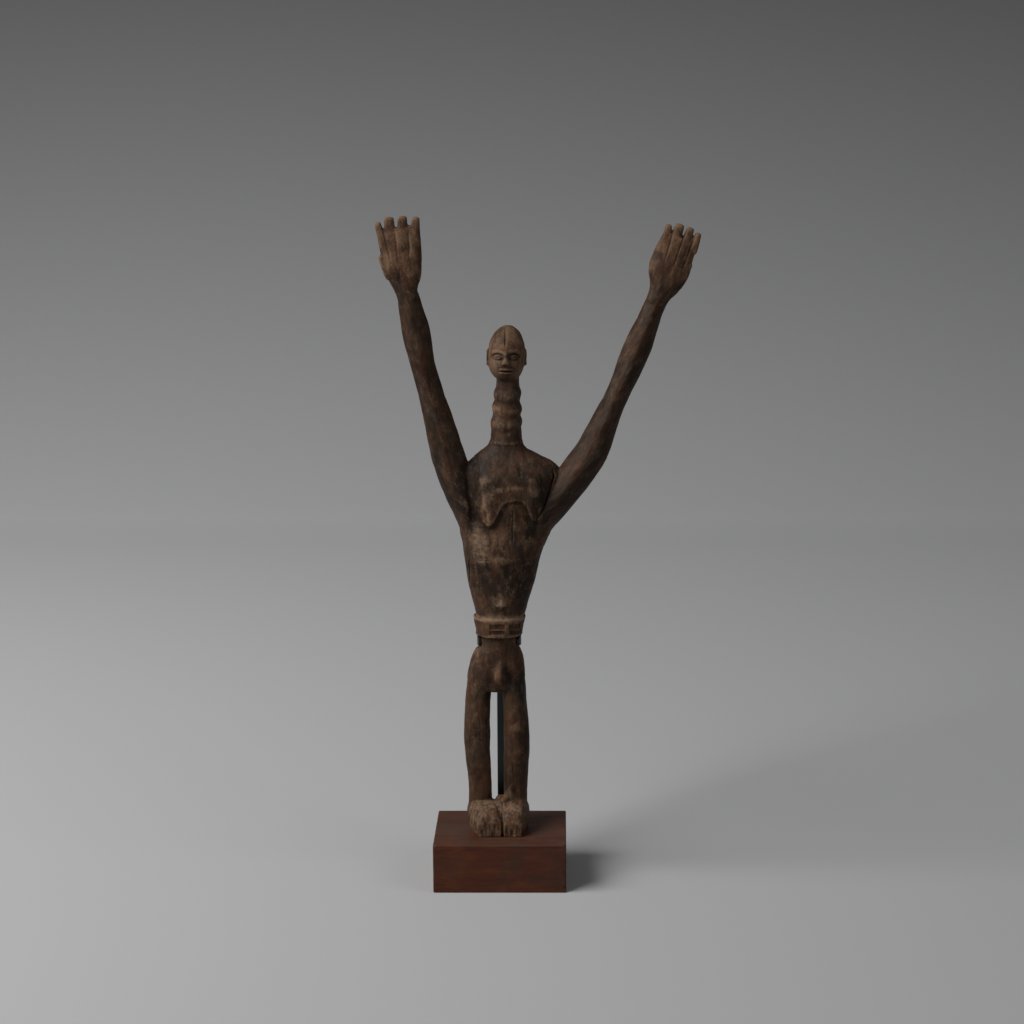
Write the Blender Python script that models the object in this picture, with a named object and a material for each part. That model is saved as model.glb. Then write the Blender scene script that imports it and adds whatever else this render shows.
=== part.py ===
"""A carved wooden figure with raised arms, clasped by a steel support on a wooden plinth.

Metres, +Z up. The origin is the centre of the plinth's underside, and the figure faces -Y.
The figure is one piece of wood. Its pose and carving are given in carver's units: one unit is
1/604 of its height, so it is a millimetre while FIGURE_HEIGHT is 0.604 m. Those points are measured
from the middle of the plinth's top face. "Right" and "left" are the figure's own.
"""

import bmesh
import bpy
import numpy as np
from mathutils import Matrix, Vector

# Plinth: a plain block of stained wood
PLINTH_WIDTH = 0.130
PLINTH_DEPTH = 0.100
PLINTH_HEIGHT = 0.049
PLINTH_EDGE = 0.0009  # width of the small flat worn onto each edge

# Figure
FIGURE_HEIGHT = 0.604  # soles to the longest fingertip
FIGURE_UNITS = 604.0
UNIT = FIGURE_HEIGHT / FIGURE_UNITS

# Steel support: a flat bar with a strip bent round the waist and brazed to its face
BAR_WIDTH = 0.0075
BAR_DEPTH = 0.0050
BAR_EDGE = 0.0005
BAR_SUNK = 0.020  # depth of the bar's foot in the plinth
STRIP_THICKNESS = 0.0027
STRIP_CORNER = 0.0026  # radius of the corners at the strip's two ends
STRIP_REACH_DEG = 26.0  # how far each arm of the strip reaches forward of the waist's side
STRIP_SEGMENTS = 36
BRAZE_OVERLAP = 0.0006

# Clearances
SEAT_GAP = 0.0003  # between two pieces that touch
WAIST_GAP = 0.0005  # between the strip and the waist
HIP_GAP = 0.0004  # from the foot of the groove up to the strip
BELT_GAP = 0.0011  # from the strip up to the belt

# Fineness of the carved surface
CARVING_GRAIN = 1.0  # voxel size that fuses the roughed-out forms (units)
FIGURE_TRIANGLES = 8600
RING_SIDES = 40

# Waist: the groove between the hips and the belt, which the strip clasps (units)
WAIST_CENTRE = (-0.7, 4.5)
WAIST_HALF_WIDTH = 18.4
WAIST_HALF_DEPTH = 15.6
WAIST_SQUARENESS = 2.2
GROOVE_FOOT = 187.6
GROOVE_HEIGHT = 10.5
BELT_FOOT = GROOVE_FOOT + GROOVE_HEIGHT
BELT_HEIGHT = 19.3

# Stations along each form: x, y, z of the centre, half width, half depth (units)
TRUNK = [
    (-3.6, 5.0, 141, 16.0, 9.5),
    (-3.8, 5.0, 144, 24.0, 13.5),
    (-3.9, 5.0, 151, 28.2, 16.2),
    (-3.4, 5.0, 161, 28.0, 16.8),
    (-2.8, 4.8, 173, 26.2, 16.6),
    (-2.0, 4.6, GROOVE_FOOT - 5.6, 22.6, 16.2),
    (*WAIST_CENTRE, GROOVE_FOOT, WAIST_HALF_WIDTH, WAIST_HALF_DEPTH),
    (*WAIST_CENTRE, (GROOVE_FOOT + BELT_FOOT) / 2, WAIST_HALF_WIDTH, WAIST_HALF_DEPTH),
    (*WAIST_CENTRE, BELT_FOOT + 0.4, WAIST_HALF_WIDTH, WAIST_HALF_DEPTH),
    (-0.5, 4.2, BELT_FOOT + 7.9, 19.5, 17.0),
    (0.7, 3.4, 219, 23.7, 19.6),
    (1.1, 2.8, 232, 26.9, 21.4),
    (2.0, 2.4, 252, 32.5, 23.0),
    (2.5, 2.4, 272, 36.0, 24.0),
    (3.9, 2.6, 286, 39.0, 24.4),
    (6.6, 3.0, 304, 44.8, 25.0),
    (8.5, 3.4, 322, 47.0, 25.4),
    (10.0, 3.8, 342, 48.0, 25.0),
    (12.5, 4.4, 357, 49.0, 22.8),
    (11.5, 5.2, 368, 42.0, 19.4),
    (8.8, 6.2, 374, 33.0, 17.4),
    (6.6, 6.8, 380, 23.4, 15.8),
    (6.7, 7.0, 385, 17.4, 14.8),
    (6.8, 7.0, 390, 15.6, 14.0),
]
RIGHT_ARM = [
    (-17.0, 3.0, 294, 15.0, 17.0),
    (-27.0, 2.5, 320, 16.4, 18.0),
    (-36.0, 2.5, 341, 16.6, 17.4),
    (-44.0, 2.5, 361, 16.4, 16.2),
    (-50.0, 2.0, 380, 16.0, 15.0),
    (-57.2, 1.0, 409, 14.1, 13.4),
    (-64.8, 0.0, 438, 12.0, 12.2),
    (-72.0, -1.0, 466, 11.8, 12.2),
    (-76.5, -2.0, 491, 13.7, 12.8),
    (-81.2, -3.0, 513, 12.0, 11.4),
    (-84.6, -3.5, 530, 10.2, 9.8),
]
LEFT_ARM = [
    (28.0, 3.0, 303, 17.0, 17.0),
    (45.0, 2.5, 322, 17.2, 18.0),
    (62.0, 2.5, 342, 17.0, 17.2),
    (77.0, 2.5, 361, 16.8, 16.0),
    (89.4, 2.0, 380, 16.0, 15.0),
    (101.9, 1.0, 409, 13.1, 13.4),
    (114.9, 0.0, 438, 11.5, 12.2),
    (125.5, -1.0, 463, 12.9, 12.4),
    (134.6, -2.0, 486, 12.8, 12.6),
    (145.0, -3.0, 513, 10.3, 11.0),
    (151.4, -3.5, 527, 9.9, 9.8),
]
ARM_SQUARENESS = 1.6  # below 2, so a blunt keel runs down the front of each arm
RIGHT_PALM = [
    (-83.4, -3.5, 525, 10.0, 9.6),
    (-86.0, -3.8, 534, 10.4, 9.0),
    (-87.4, -4.2, 546, 15.6, 9.0),
    (-88.8, -4.6, 557, 18.2, 8.6),
    (-90.0, -5.0, 569, 19.0, 7.6),
    (-91.4, -5.4, 580, 20.0, 6.2),
    (-93.0, -5.6, 590, 20.2, 4.6),
]
LEFT_PALM = [
    (148.8, -3.5, 522, 9.6, 9.6),
    (153.2, -3.8, 531, 11.0, 9.0),
    (158.4, -4.2, 542, 16.2, 9.0),
    (161.4, -4.6, 553, 19.4, 8.6),
    (164.8, -5.0, 565, 18.8, 7.6),
    (169.0, -5.4, 576, 17.8, 6.2),
    (172.4, -5.6, 584, 16.4, 4.6),
]
# Fingers and thumbs: root x, z, tip x, z, half width at the root, half width at the tip (units)
RIGHT_FINGERS = [
    (-106.0, 576, -111.8, 597.4, 4.6, 2.9),
    (-99.6, 576, -101.4, 602.0, 5.2, 4.6),
    (-89.0, 576, -88.5, 603.0, 5.4, 4.2),
    (-77.2, 574, -76.2, 602.2, 5.0, 3.5),
    (-101.0, 547, -109.6, 566.5, 4.6, 2.2),
]
# Low webs of wood left between the right hand's fingers, in the same terms
RIGHT_WEBS = [(-94.8, 576, -94.9, 592.4, 3.4, 2.4), (-82.8, 576, -82.4, 594.6, 3.8, 2.6)]
LEFT_FINGERS = [
    (157.0, 576, 161.0, 595.5, 4.4, 2.9),
    (164.8, 576, 171.2, 595.6, 5.2, 4.4),
    (175.2, 574, 181.2, 592.2, 4.8, 3.5),
    (183.0, 571, 188.6, 587.4, 4.4, 2.9),
    (173.4, 546, 181.6, 559.0, 3.8, 2.0),
]
FINGER_DEPTH = 4.0
FINGER_BLUNTNESS = 0.45  # 1 rounds the tips fully, 0 cuts them flat
FINGER_PLANE = (-5.2, -6.2)  # y at the roots and at the tips

RIGHT_LEG = [
    (-17.0, 5.2, 172, 9.6, 12.0),
    (-20.0, 5.4, 154, 11.8, 13.6),
    (-22.0, 5.5, 131, 12.2, 14.0),
    (-22.8, 5.0, 113, 12.6, 13.6),
    (-23.2, 4.0, 93, 12.8, 13.0),
    (-22.8, 5.5, 76, 12.4, 13.4),
    (-21.5, 8.0, 58, 11.9, 12.6),
    (-20.8, 9.0, 41, 11.2, 12.0),
    (-20.6, 9.6, 26, 11.2, 11.8),
    (-20.6, 9.6, 14, 11.2, 11.6),
]
LEFT_LEG = [
    (10.5, 5.2, 172, 9.6, 12.0),
    (12.9, 5.4, 154, 11.4, 13.6),
    (14.4, 5.5, 131, 11.6, 14.0),
    (15.4, 5.0, 113, 12.2, 13.6),
    (15.9, 4.0, 93, 12.6, 13.0),
    (15.7, 5.5, 76, 12.6, 13.4),
    (15.1, 8.0, 58, 12.1, 12.6),
    (14.8, 9.0, 41, 11.6, 12.0),
    (14.8, 9.6, 26, 11.6, 11.8),
    (14.8, 9.6, 14, 11.6, 11.6),
]
# Feet, from heel to toe: x and y of the centre, half width, height of the top (units)
RIGHT_FOOT = [
    (-18.5, 19.5, 11.0, 21.0),
    (-17.8, 12.0, 15.6, 26.5),
    (-16.0, 3.0, 17.4, 28.5),
    (-14.0, -7.0, 16.6, 28.0),
    (-12.4, -17.0, 15.0, 25.5),
    (-11.2, -24.0, 13.6, 21.0),
    (-10.8, -27.5, 12.2, 14.5),
]
LEFT_FOOT = [
    (15.6, 19.5, 10.4, 21.0),
    (15.6, 12.0, 13.0, 26.5),
    (15.2, 3.0, 12.8, 30.0),
    (14.4, -7.0, 12.2, 29.0),
    (13.2, -17.0, 11.4, 26.0),
    (12.4, -24.0, 10.4, 21.0),
    (12.2, -27.5, 9.2, 14.0),
]
# A wedge of wood left standing on the left instep, against the leg: x, y, z, half width, half depth
ANKLE_WEDGE = [(7.0, 0.0, 22, 6.5, 7.0), (8.0, -1.5, 34, 5.2, 5.2), (11.0, -2.6, 44, 1.2, 1.3)]
FEET_WEB = [
    (1.6, 13.0, 5.0, 18.0),
    (0.8, 4.0, 7.6, 33.5),
    (0.8, -6.0, 7.4, 31.0),
    (1.6, -16.0, 6.0, 24.0),
    (2.0, -25.0, 4.6, 14.0),
]
SOLE_DEPTH = 4.0  # the feet are roughed out this far below the soles, and cut flat there

# Neck: a tapering column with three swellings and the hollows between them (units)
NECK_FOOT = (6.6, 7.2, 377.0)
NECK_TOP = (9.1, 6.0, 453.0)
NECK_FOOT_RADIUS = 15.9
NECK_TOP_RADIUS = 10.6
NECK_DEPTH_SHARE = 0.98
NECK_RING_START = 399.5
NECK_RING_PITCH = 14.0
NECK_RINGS = 3
NECK_RING_SWELL = 1.9
NECK_RING_DIP = 2.6  # how far each swelling hangs lower in front
NECK_RING_TILTS = (0.9, -1.6, 0.5)  # from the lowest swelling up: how far each rises to the figure's left

HEAD = [
    (8.6, 4.6, 449.0, 9.6, 10.5),
    (8.0, 1.6, 455.0, 14.0, 16.5),
    (7.7, 0.4, 462.0, 16.7, 20.0),
    (7.7, 1.2, 470.0, 17.6, 21.8),
    (8.0, 3.0, 478.5, 17.5, 21.8),
    (8.3, 5.2, 486.5, 15.7, 19.0),
    (8.6, 7.4, 493.5, 12.0, 14.4),
    (8.8, 9.0, 498.3, 6.8, 8.2),
    (8.9, 9.6, 500.2, 2.6, 3.2),
]

# Collar: a thin ridge round the foot of the neck (units)
COLLAR = [(6.7, 6.5, 387.2, 15.9, 15.3), (6.7, 6.6, 389.6, 15.7, 15.2)]

# Face: brow, nose, lidded eyes and a lipped mouth, placed from the middle of the face (units)
FACE_MIDDLE = 7.8
BROW_LEVEL = 477.6
BROW_ARCH = 0.05
NOSE = [(7.8, -16.6, 478.0, 1.9, 3.4), (7.8, -20.6, 471.5, 2.6, 3.6), (7.8, -22.8, 466.0, 3.8, 3.0)]
EYE_ASIDE = 7.4
EYE_LEVEL = 472.8
EYE_RADII = (4.3, 2.3, 2.3)
MOUTH_LEVEL = 459.4
MOUTH_HALF_WIDTH = 6.4
LIP_HEIGHT = 1.5
EAR_ASIDE = 17.0
EAR_CENTRE = (2.6, 470.5)  # y, z
EAR_RADIUS = 6.0
EAR_THICKNESS = 2.5
EAR_OPENING_DEG = 80.0  # the gap of the C, towards the face

# Chest: the lower edge of the raised breastplate as x, z (units)
CHEST_EDGE = [
    (-20, 322), (-15, 315), (-9.5, 311), (-6.5, 312.5), (-3, 318), (1.5, 326), (4.5, 331.5),
    (9, 334.5), (16, 336), (23, 334.5), (27, 331), (30, 324), (32.5, 317), (36, 315), (48, 322),
]
# Along x: how far the breastplate stands out, and the width of the bevel at its lower edge
CHEST_RELIEF = [
    (-20, 3.2, 2.0), (-8, 3.8, 4.5), (1, 3.0, 4.5), (8, 1.9, 1.8),
    (24, 1.7, 1.8), (31, 3.0, 3.5), (42, 2.0, 3.0),
]
CHEST_SIDES = (-24.0, -13.0, 38.0, 47.0)  # x where the plate starts, is full, starts to run out, and ends
CHEST_FADE = (352.0, 376.0)  # z range in which the plate runs out into the shoulders
# The hollow between the right arm and the breastplate as x, z
CHEST_VALLEY = [(-23.5, 374), (-24.5, 346), (-22.5, 324), (-20.0, 305)]
CHEST_VALLEY_HALF_WIDTH = 8.5
CHEST_VALLEY_DEPTH = 3.2
# The ridge of the right breast as x, z, with its width to each side
BREAST_RIDGE = [(-8.0, 311), (-9.5, 320), (-12, 332), (-14, 346)]
BREAST_RIDGE_SIDES = (3.5, 9.0)
BREAST_RIDGE_RAISE = 1.4

NAVEL = (2.6, 232.0)  # x, z of a four-sided knob
NAVEL_RADIUS = 6.4
NAVEL_RAISE = 4.4
NAVEL_TIP = 3.2  # the knob's point is worn off at this height
LOIN_WEDGE = [
    (1.4, -9.0, 177, 3.8, 2.4),
    (1.3, -10.4, 168, 5.8, 4.8),
    (1.3, -12.0, 160, 6.8, 6.2),
    (1.5, -11.6, 153, 4.2, 4.4),
]

# Cracks: x, z along each, on the front, with half width and depth (units)
CHEST_CRACK = [(52.0, 363), (53.2, 357), (50.0, 347), (47.4, 340), (44.6, 331), (40.5, 323), (36.0, 316)]
BREAST_CRACK = [(13.6, 328), (13.9, 316), (13.2, 304), (13.4, 295)]
FOREHEAD_CRACK = [(6.6, 499.0), (7.2, 492), (6.9, 482)]
CRACKS = [(CHEST_CRACK, 0.9, 3.2), (BREAST_CRACK, 0.45, 1.2), (FOREHEAD_CRACK, 0.6, 1.6)]

# Lines that carry the gaps between the fingers down the palms, as x, z (units)
PALM_LINES = [
    [(-106.6, 590), (-103.4, 576), (-99.6, 561)], [(-95.6, 590), (-94.0, 574), (-92.8, 560)],
    [(-83.0, 590), (-82.2, 576), (-82.6, 563)], [(164.6, 590), (160.4, 574), (156.6, 561)],
    [(176.0, 588), (170.2, 572), (165.0, 557)], [(184.8, 584), (178.6, 568), (173.0, 554)],
]
PALM_LINE = (0.8, 0.7)  # half width, depth

# Spine: a shallow groove down the back as x, z (units)
SPINE = [(6.8, 372), (6.0, 340), (3.0, 290), (1.0, 250), (0.4, 226)]
SPINE_HALF_WIDTH = 3.4
SPINE_DEPTH = 1.6

# Belt: a raised band, wider at the top, with two sunk panels in front (units)
BELT_BOTTOM = (-0.6, 4.2, BELT_FOOT + 0.9, 22.0, 19.0)
BELT_TOP = (-0.2, 3.6, BELT_FOOT + BELT_HEIGHT, 25.6, 21.8)
BELT_PANELS = [(-9.6, 5.4), (9.4, 20.0)]  # x range of each panel
BELT_PANEL_HEIGHTS = (BELT_FOOT + 3.3, BELT_FOOT + 14.1)
BELT_PANEL_RIB = BELT_FOOT + 8.3
BELT_PANEL_DEPTH = 1.6
BELT_HEM = [(-0.7, 4.2, BELT_FOOT, 22.8, 19.8), (-0.7, 4.2, BELT_FOOT + 2.0, 22.8, 19.8)]

# Toes: the line between the feet, and the cuts that part the toes, each from the sole up
FEET_PARTING = 2.4  # x
TOE_CUTS = [  # x at the sole, x and z at the upper end, depth
    (-22.5, -24.5, 15, 0.6), (-16.6, -18.0, 8, 0.7), (-10.4, -11.6, 10, 0.5), (-4.6, -5.6, 14, 0.9),
    (7.6, 6.8, 10, 0.8), (12.4, 11.2, 7, 0.6), (17.2, 16.4, 13, 0.9),
]
TOE_CUT_HALF_WIDTH = 1.1
INSTEP_TOP = 30.0
FACE_FOOT = 450.0  # nothing of the face is carved below this level


def smooth_stations(stations, steps):
    """The stations with steps - 1 more between each two, on one Catmull-Rom curve."""
    points = np.array(stations, float)
    padded = np.vstack([2 * points[0] - points[1], points, 2 * points[-1] - points[-2]])
    rows = []
    for i in range(len(points) - 1):
        a, b, c, d = padded[i : i + 4]
        for t in np.arange(steps) / steps:
            bend = (2 * a - 5 * b + 4 * c - d) * t**2 + (3 * b - a - 3 * c + d) * t**3
            rows.append(b + 0.5 * ((c - a) * t + bend))
    rows.append(points[-1])
    return np.array(rows)


def add_tube(bm, rings):
    """Closes a list of equal rings of points into one tube with capped ends."""
    loops = [[bm.verts.new(Vector(p)) for p in ring] for ring in rings]
    count = len(loops[0])
    for low, high in zip(loops, loops[1:]):
        for i in range(count):
            j = (i + 1) % count
            bm.faces.new((low[i], low[j], high[j], high[i]))
    bm.faces.new(list(reversed(loops[0])))
    bm.faces.new(loops[-1])


def outline(half_width, half_depth, squareness, sides=RING_SIDES):
    """Points of a superellipse: squareness 2 is an ellipse, and more is squarer."""
    angle = np.arange(sides) * 2 * np.pi / sides
    power = 2.0 / squareness
    across = np.sign(np.cos(angle)) * np.abs(np.cos(angle)) ** power * half_width
    along = np.sign(np.sin(angle)) * np.abs(np.sin(angle)) ** power * half_depth
    return across, along


def add_limb(bm, stations, squareness=2.0, steps=3, round_ends=0.0):
    """A form whose sections stand square to its centre line: half width to the side, half depth in Y."""
    rows = smooth_stations(stations, steps)
    centres = rows[:, :3]
    tangents = np.gradient(centres, axis=0)
    tangents /= np.linalg.norm(tangents, axis=1)[:, None]
    rings = []
    ends = [0.0]
    if round_ends:
        ends = [0.9, 0.45, 0.0]
    last = len(rows) - 1
    sections = [(0, -e) for e in ends[:-1]]
    sections += [(i, 0.0) for i in range(last + 1)]
    sections += [(last, e) for e in ends[-2::-1]]
    for index, beyond in sections:
        side = np.cross((0.0, 1.0, 0.0), tangents[index])
        side /= np.linalg.norm(side)
        depth = np.cross(tangents[index], side)
        shrink = np.sqrt(1.0 - beyond**2)
        reach = beyond * round_ends * min(rows[index][3:5])
        across, along = outline(rows[index][3] * shrink, rows[index][4] * shrink, squareness)
        centre = centres[index] + tangents[index] * reach
        rings.append(centre + np.outer(across, side) + np.outer(along, depth))
    add_tube(bm, rings)


def add_column(bm, stations, squareness=2.0, steps=3):
    """A form built of level sections: half width in X, half depth in Y."""
    rings = []
    for x, y, z, half_width, half_depth in smooth_stations(stations, steps):
        across, along = outline(half_width, half_depth, squareness)
        rings.append(np.column_stack([x + across, y + along, np.full(len(across), z)]))
    add_tube(bm, rings)


def add_foot(bm, stations, squareness=3.0, steps=3):
    """A foot from heel to toe, in upright sections that run on below the sole."""
    rings = []
    for x, y, half_width, top in smooth_stations(stations, steps):
        middle = (top - SOLE_DEPTH) / 2
        across, up = outline(half_width, (top + SOLE_DEPTH) / 2, squareness)
        rings.append(np.column_stack([x + across, np.full(len(across), y), middle + up]))
    add_tube(bm, rings[::-1])


def add_ear(bm, side):
    """A C-shaped ear that opens towards the face."""
    angles = np.radians(np.linspace(180 + EAR_OPENING_DEG, 540 - EAR_OPENING_DEG, 9))
    rings = []
    for angle in angles:
        outward = np.array([0.0, np.cos(angle), np.sin(angle)])
        middle = np.array([FACE_MIDDLE + side * EAR_ASIDE, *EAR_CENTRE]) + outward * EAR_RADIUS
        across, along = outline(EAR_THICKNESS, EAR_THICKNESS, 2.0, 12)
        rings.append(middle + np.outer(across * side, (1.0, 0.0, 0.0)) + np.outer(along, outward))
    add_tube(bm, rings)


def add_fingers(bm, fingers):
    for root_x, root_z, tip_x, tip_z, root_half, tip_half in fingers:
        root = (root_x, FINGER_PLANE[0], root_z, root_half, FINGER_DEPTH + 0.6)
        middle = (
            (root_x + tip_x) / 2,
            sum(FINGER_PLANE) / 2,
            (root_z + tip_z) / 2,
            (root_half + tip_half) / 2 + 0.2,
            FINGER_DEPTH,
        )
        tip = (tip_x, FINGER_PLANE[1], tip_z, tip_half, FINGER_DEPTH - 0.8)
        add_limb(bm, [root, middle, tip], squareness=3.0, round_ends=FINGER_BLUNTNESS)


def add_neck(bm):
    """The neck's column, with swellings that hang lower in front and lean a little."""
    foot, top = np.array(NECK_FOOT), np.array(NECK_TOP)
    angle = np.arange(RING_SIDES) * 2 * np.pi / RING_SIDES
    aside, forward = np.cos(angle), np.clip(-np.sin(angle), 0, 1)
    middles = NECK_RING_START + NECK_RING_PITCH * (np.arange(NECK_RINGS) + 0.5)
    rings = []
    for level in np.linspace(foot[2], top[2], 58):
        share = (level - foot[2]) / (top[2] - foot[2])
        radius = NECK_FOOT_RADIUS + (NECK_TOP_RADIUS - NECK_FOOT_RADIUS) * share
        tilt = np.interp(level, middles, NECK_RING_TILTS)
        ring = (level - tilt * aside + NECK_RING_DIP * (forward**2 - 0.5) - NECK_RING_START) / NECK_RING_PITCH
        swell = NECK_RING_SWELL * np.abs(np.sin(np.pi * ring)) ** 1.4 - 0.3
        radius = radius + np.where((ring > 0) & (ring < NECK_RINGS), swell, 0)
        centre = foot + (top - foot) * share
        across, along = radius * aside, radius * np.sin(angle) * NECK_DEPTH_SHARE
        rings.append(np.column_stack([centre[0] + across, centre[1] + along, np.full(RING_SIDES, level)]))
    add_tube(bm, rings)


def rough_out_figure():
    """Every form of the figure as overlapping closed shapes, in units."""
    bm = bmesh.new()
    add_column(bm, TRUNK, squareness=2.2)
    add_limb(bm, RIGHT_ARM, ARM_SQUARENESS)
    add_limb(bm, LEFT_ARM, ARM_SQUARENESS)
    add_limb(bm, RIGHT_PALM, squareness=2.4)
    add_limb(bm, LEFT_PALM, squareness=2.4)
    add_fingers(bm, RIGHT_FINGERS + RIGHT_WEBS)
    add_fingers(bm, LEFT_FINGERS)
    add_column(bm, RIGHT_LEG[::-1], squareness=2.3)
    add_column(bm, LEFT_LEG[::-1], squareness=2.3)
    add_foot(bm, RIGHT_FOOT)
    add_foot(bm, LEFT_FOOT)
    add_foot(bm, FEET_WEB, squareness=2.6)
    add_neck(bm)
    add_column(bm, HEAD)
    add_column(bm, [BELT_BOTTOM, BELT_TOP], squareness=2.2)
    add_column(bm, BELT_HEM, squareness=2.2)
    add_column(bm, COLLAR)
    add_limb(bm, NOSE, squareness=2.4)
    add_limb(bm, LOIN_WEDGE[::-1], squareness=1.5, round_ends=0.8)
    add_limb(bm, ANKLE_WEDGE, round_ends=1.0)
    for side in (-1, 1):
        add_ear(bm, side)
    return bm


def fused(bm, grain):
    """One closed skin round all the forms, and its points and normals."""
    mesh = bpy.data.meshes.new("roughed_out")
    bm.to_mesh(mesh)
    bm.free()
    holder = bpy.data.objects.new("roughed_out", mesh)
    bpy.context.scene.collection.objects.link(holder)
    remesh = holder.modifiers.new("fuse", "REMESH")
    remesh.mode = "VOXEL"
    remesh.voxel_size = grain
    relax = holder.modifiers.new("relax", "SMOOTH")
    relax.factor = 0.5
    relax.iterations = 6
    bpy.context.view_layer.update()
    graph = bpy.context.evaluated_depsgraph_get()
    skin = bpy.data.meshes.new_from_object(holder.evaluated_get(graph))
    bpy.data.objects.remove(holder)
    return skin


def ease(value, low, high):
    """0 below low, 1 above high, and a smooth step between."""
    share = np.clip((value - low) / (high - low), 0.0, 1.0)
    return share * share * (3 - 2 * share)


def distance_to_line(x, z, line):
    """Distance of each point from a broken line, and the share of the way along it."""
    line = np.array(line, float)
    best = np.full(len(x), 1e9)
    along = np.zeros(len(x))
    lengths = np.linalg.norm(np.diff(line, axis=0), axis=1)
    starts = np.concatenate([[0.0], np.cumsum(lengths)])
    for i, length in enumerate(lengths):
        step = (line[i + 1] - line[i]) / length
        t = np.clip((x - line[i, 0]) * step[0] + (z - line[i, 1]) * step[1], 0, length)
        distance = np.hypot(x - line[i, 0] - t * step[0], z - line[i, 1] - t * step[1])
        nearer = distance < best
        best[nearer] = distance[nearer]
        along[nearer] = (starts[i] + t[nearer]) / starts[-1]
    return best, along


def carve_chest(x, z, front):
    edge = np.interp(x, *np.array(CHEST_EDGE, float).T)
    places, raises, bevels = np.array(CHEST_RELIEF, float).T
    raised, bevel = np.interp(x, places, raises), np.interp(x, places, bevels)
    left, full_from, full_to, right = CHEST_SIDES
    sides = ease(x, left, full_from) * (1 - ease(x, full_to, right))
    fade = 1 - ease(z, *CHEST_FADE)
    plate = -raised * np.clip((z - edge) / bevel + 0.8, 0, 1) * fade
    hollow = 1.2 * ease(edge - z, -0.5, 1.0) * (1 - ease(edge - z, 3.0, 22.0))
    line_x, line_z = np.array(BREAST_RIDGE, float).T
    beside = x - np.interp(z, line_z, line_x)
    near, far = BREAST_RIDGE_SIDES
    slope = 1 - np.where(beside < 0, -beside / near, beside / far)
    along = ease(z, line_z[0] - 1, line_z[0] + 6) * (1 - ease(z, line_z[-1] - 20, line_z[-1]))
    ridge = -BREAST_RIDGE_RAISE * np.clip(slope, 0, 1) * along
    away, share = distance_to_line(x, z, CHEST_VALLEY)
    valley = CHEST_VALLEY_DEPTH * (1 - ease(away, 0.0, CHEST_VALLEY_HALF_WIDTH)) * ease(share, 0.0, 0.15)
    return ((plate + hollow) * sides + ridge + valley * (1 - ease(share, 0.85, 1.0))) * front


def carve_navel(x, z, front):
    knob = NAVEL_RAISE * (1 - (np.abs(x - NAVEL[0]) + np.abs(z - NAVEL[1])) / NAVEL_RADIUS)
    return -np.clip(knob, 0, NAVEL_TIP) * front


def carve_belt(x, z, front):
    low, high = BELT_PANEL_HEIGHTS
    level = ease(z, low - 0.5, low + 0.5) * (1 - ease(z, high - 0.5, high + 0.5))
    rib = 1 - 0.8 * (1 - ease(np.abs(z - BELT_PANEL_RIB), 0.3, 1.2))
    across = sum(ease(x, a - 0.5, a + 0.5) * (1 - ease(x, b - 0.5, b + 0.5)) for a, b in BELT_PANELS)
    return BELT_PANEL_DEPTH * level * rib * across * front


def carve_face(x, z, front):
    aside = np.abs(x - FACE_MIDDLE)
    on_head = front * ease(z, FACE_FOOT, FACE_FOOT + 3)
    brow_line = BROW_LEVEL + 1.0 - BROW_ARCH * (aside - EYE_ASIDE) ** 2
    brow = -1.5 * (1 - ease(np.abs(z - brow_line), 0.8, 2.6)) * (1 - ease(aside, 11.5, 14))
    socket = 1.5 * (1 - ease(np.hypot((aside - EYE_ASIDE) / 6.2, (z - EYE_LEVEL) / 3.9), 0.75, 1.1))
    eye = np.hypot((aside - EYE_ASIDE) / EYE_RADII[0], (z - EYE_LEVEL) / EYE_RADII[2])
    lid = -1.9 * (1 - ease(eye, 0.55, 1.1))
    slit = 1.0 * (1 - ease(np.abs(z - EYE_LEVEL), 0.2, 0.8)) * (1 - ease(aside - EYE_ASIDE, 2.4, 3.4))
    slit = slit * ease(aside - EYE_ASIDE, -3.4, -2.4)
    width = 1 - ease(aside, MOUTH_HALF_WIDTH - 1.2, MOUTH_HALF_WIDTH + 0.6)
    lips = 0
    for offset in (-1.75, 1.75):
        lips -= 1.9 * (1 - ease(np.abs(z - MOUTH_LEVEL - offset), LIP_HEIGHT * 0.45, LIP_HEIGHT))
    gap = 1.6 * (1 - ease(np.abs(z - MOUTH_LEVEL), 0.3, 0.9))
    return (brow + socket + lid + slit + (lips + gap) * width) * on_head


def carve_toes(x, y, z, normals):
    """How far the parting and the toe cuts reach into the feet."""
    low = z < INSTEP_TOP
    parting = 2.4 * (1 - ease(np.abs(x - FEET_PARTING), 0.2, 1.8)) * ease(-y, 4.0, 12.0)
    parting *= 1 - 0.7 * ease(z, 12, 24)
    outward = ease(np.maximum(-normals[:, 1], np.abs(normals[:, 0])), 0.3, 0.6)
    cuts = np.zeros(len(x))
    for foot_x, top_x, top_z, depth in TOE_CUTS:
        line = foot_x + (top_x - foot_x) * z / top_z
        cut = 1 - ease(np.abs(x - line), TOE_CUT_HALF_WIDTH * 0.3, TOE_CUT_HALF_WIDTH * 1.7)
        cuts = np.maximum(cuts, depth * cut * (1 - ease(z, top_z * 0.7, top_z)))
    return (parting + cuts * outward * ease(-y, 8.0, 14.0)) * low


def carve_lines(x, z, front):
    """The cracks, and the lines down the palms."""
    cut = np.zeros(len(x))
    for line, half_width, depth in CRACKS + [(line, *PALM_LINE) for line in PALM_LINES]:
        away, along = distance_to_line(x, z, line)
        taper = np.minimum(1.0, 5 * np.minimum(along, 1 - along) + 0.25)
        cut = np.maximum(cut, depth * taper * (1 - ease(away, half_width * 0.3, half_width * 1.5)))
    return cut * front


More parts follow.
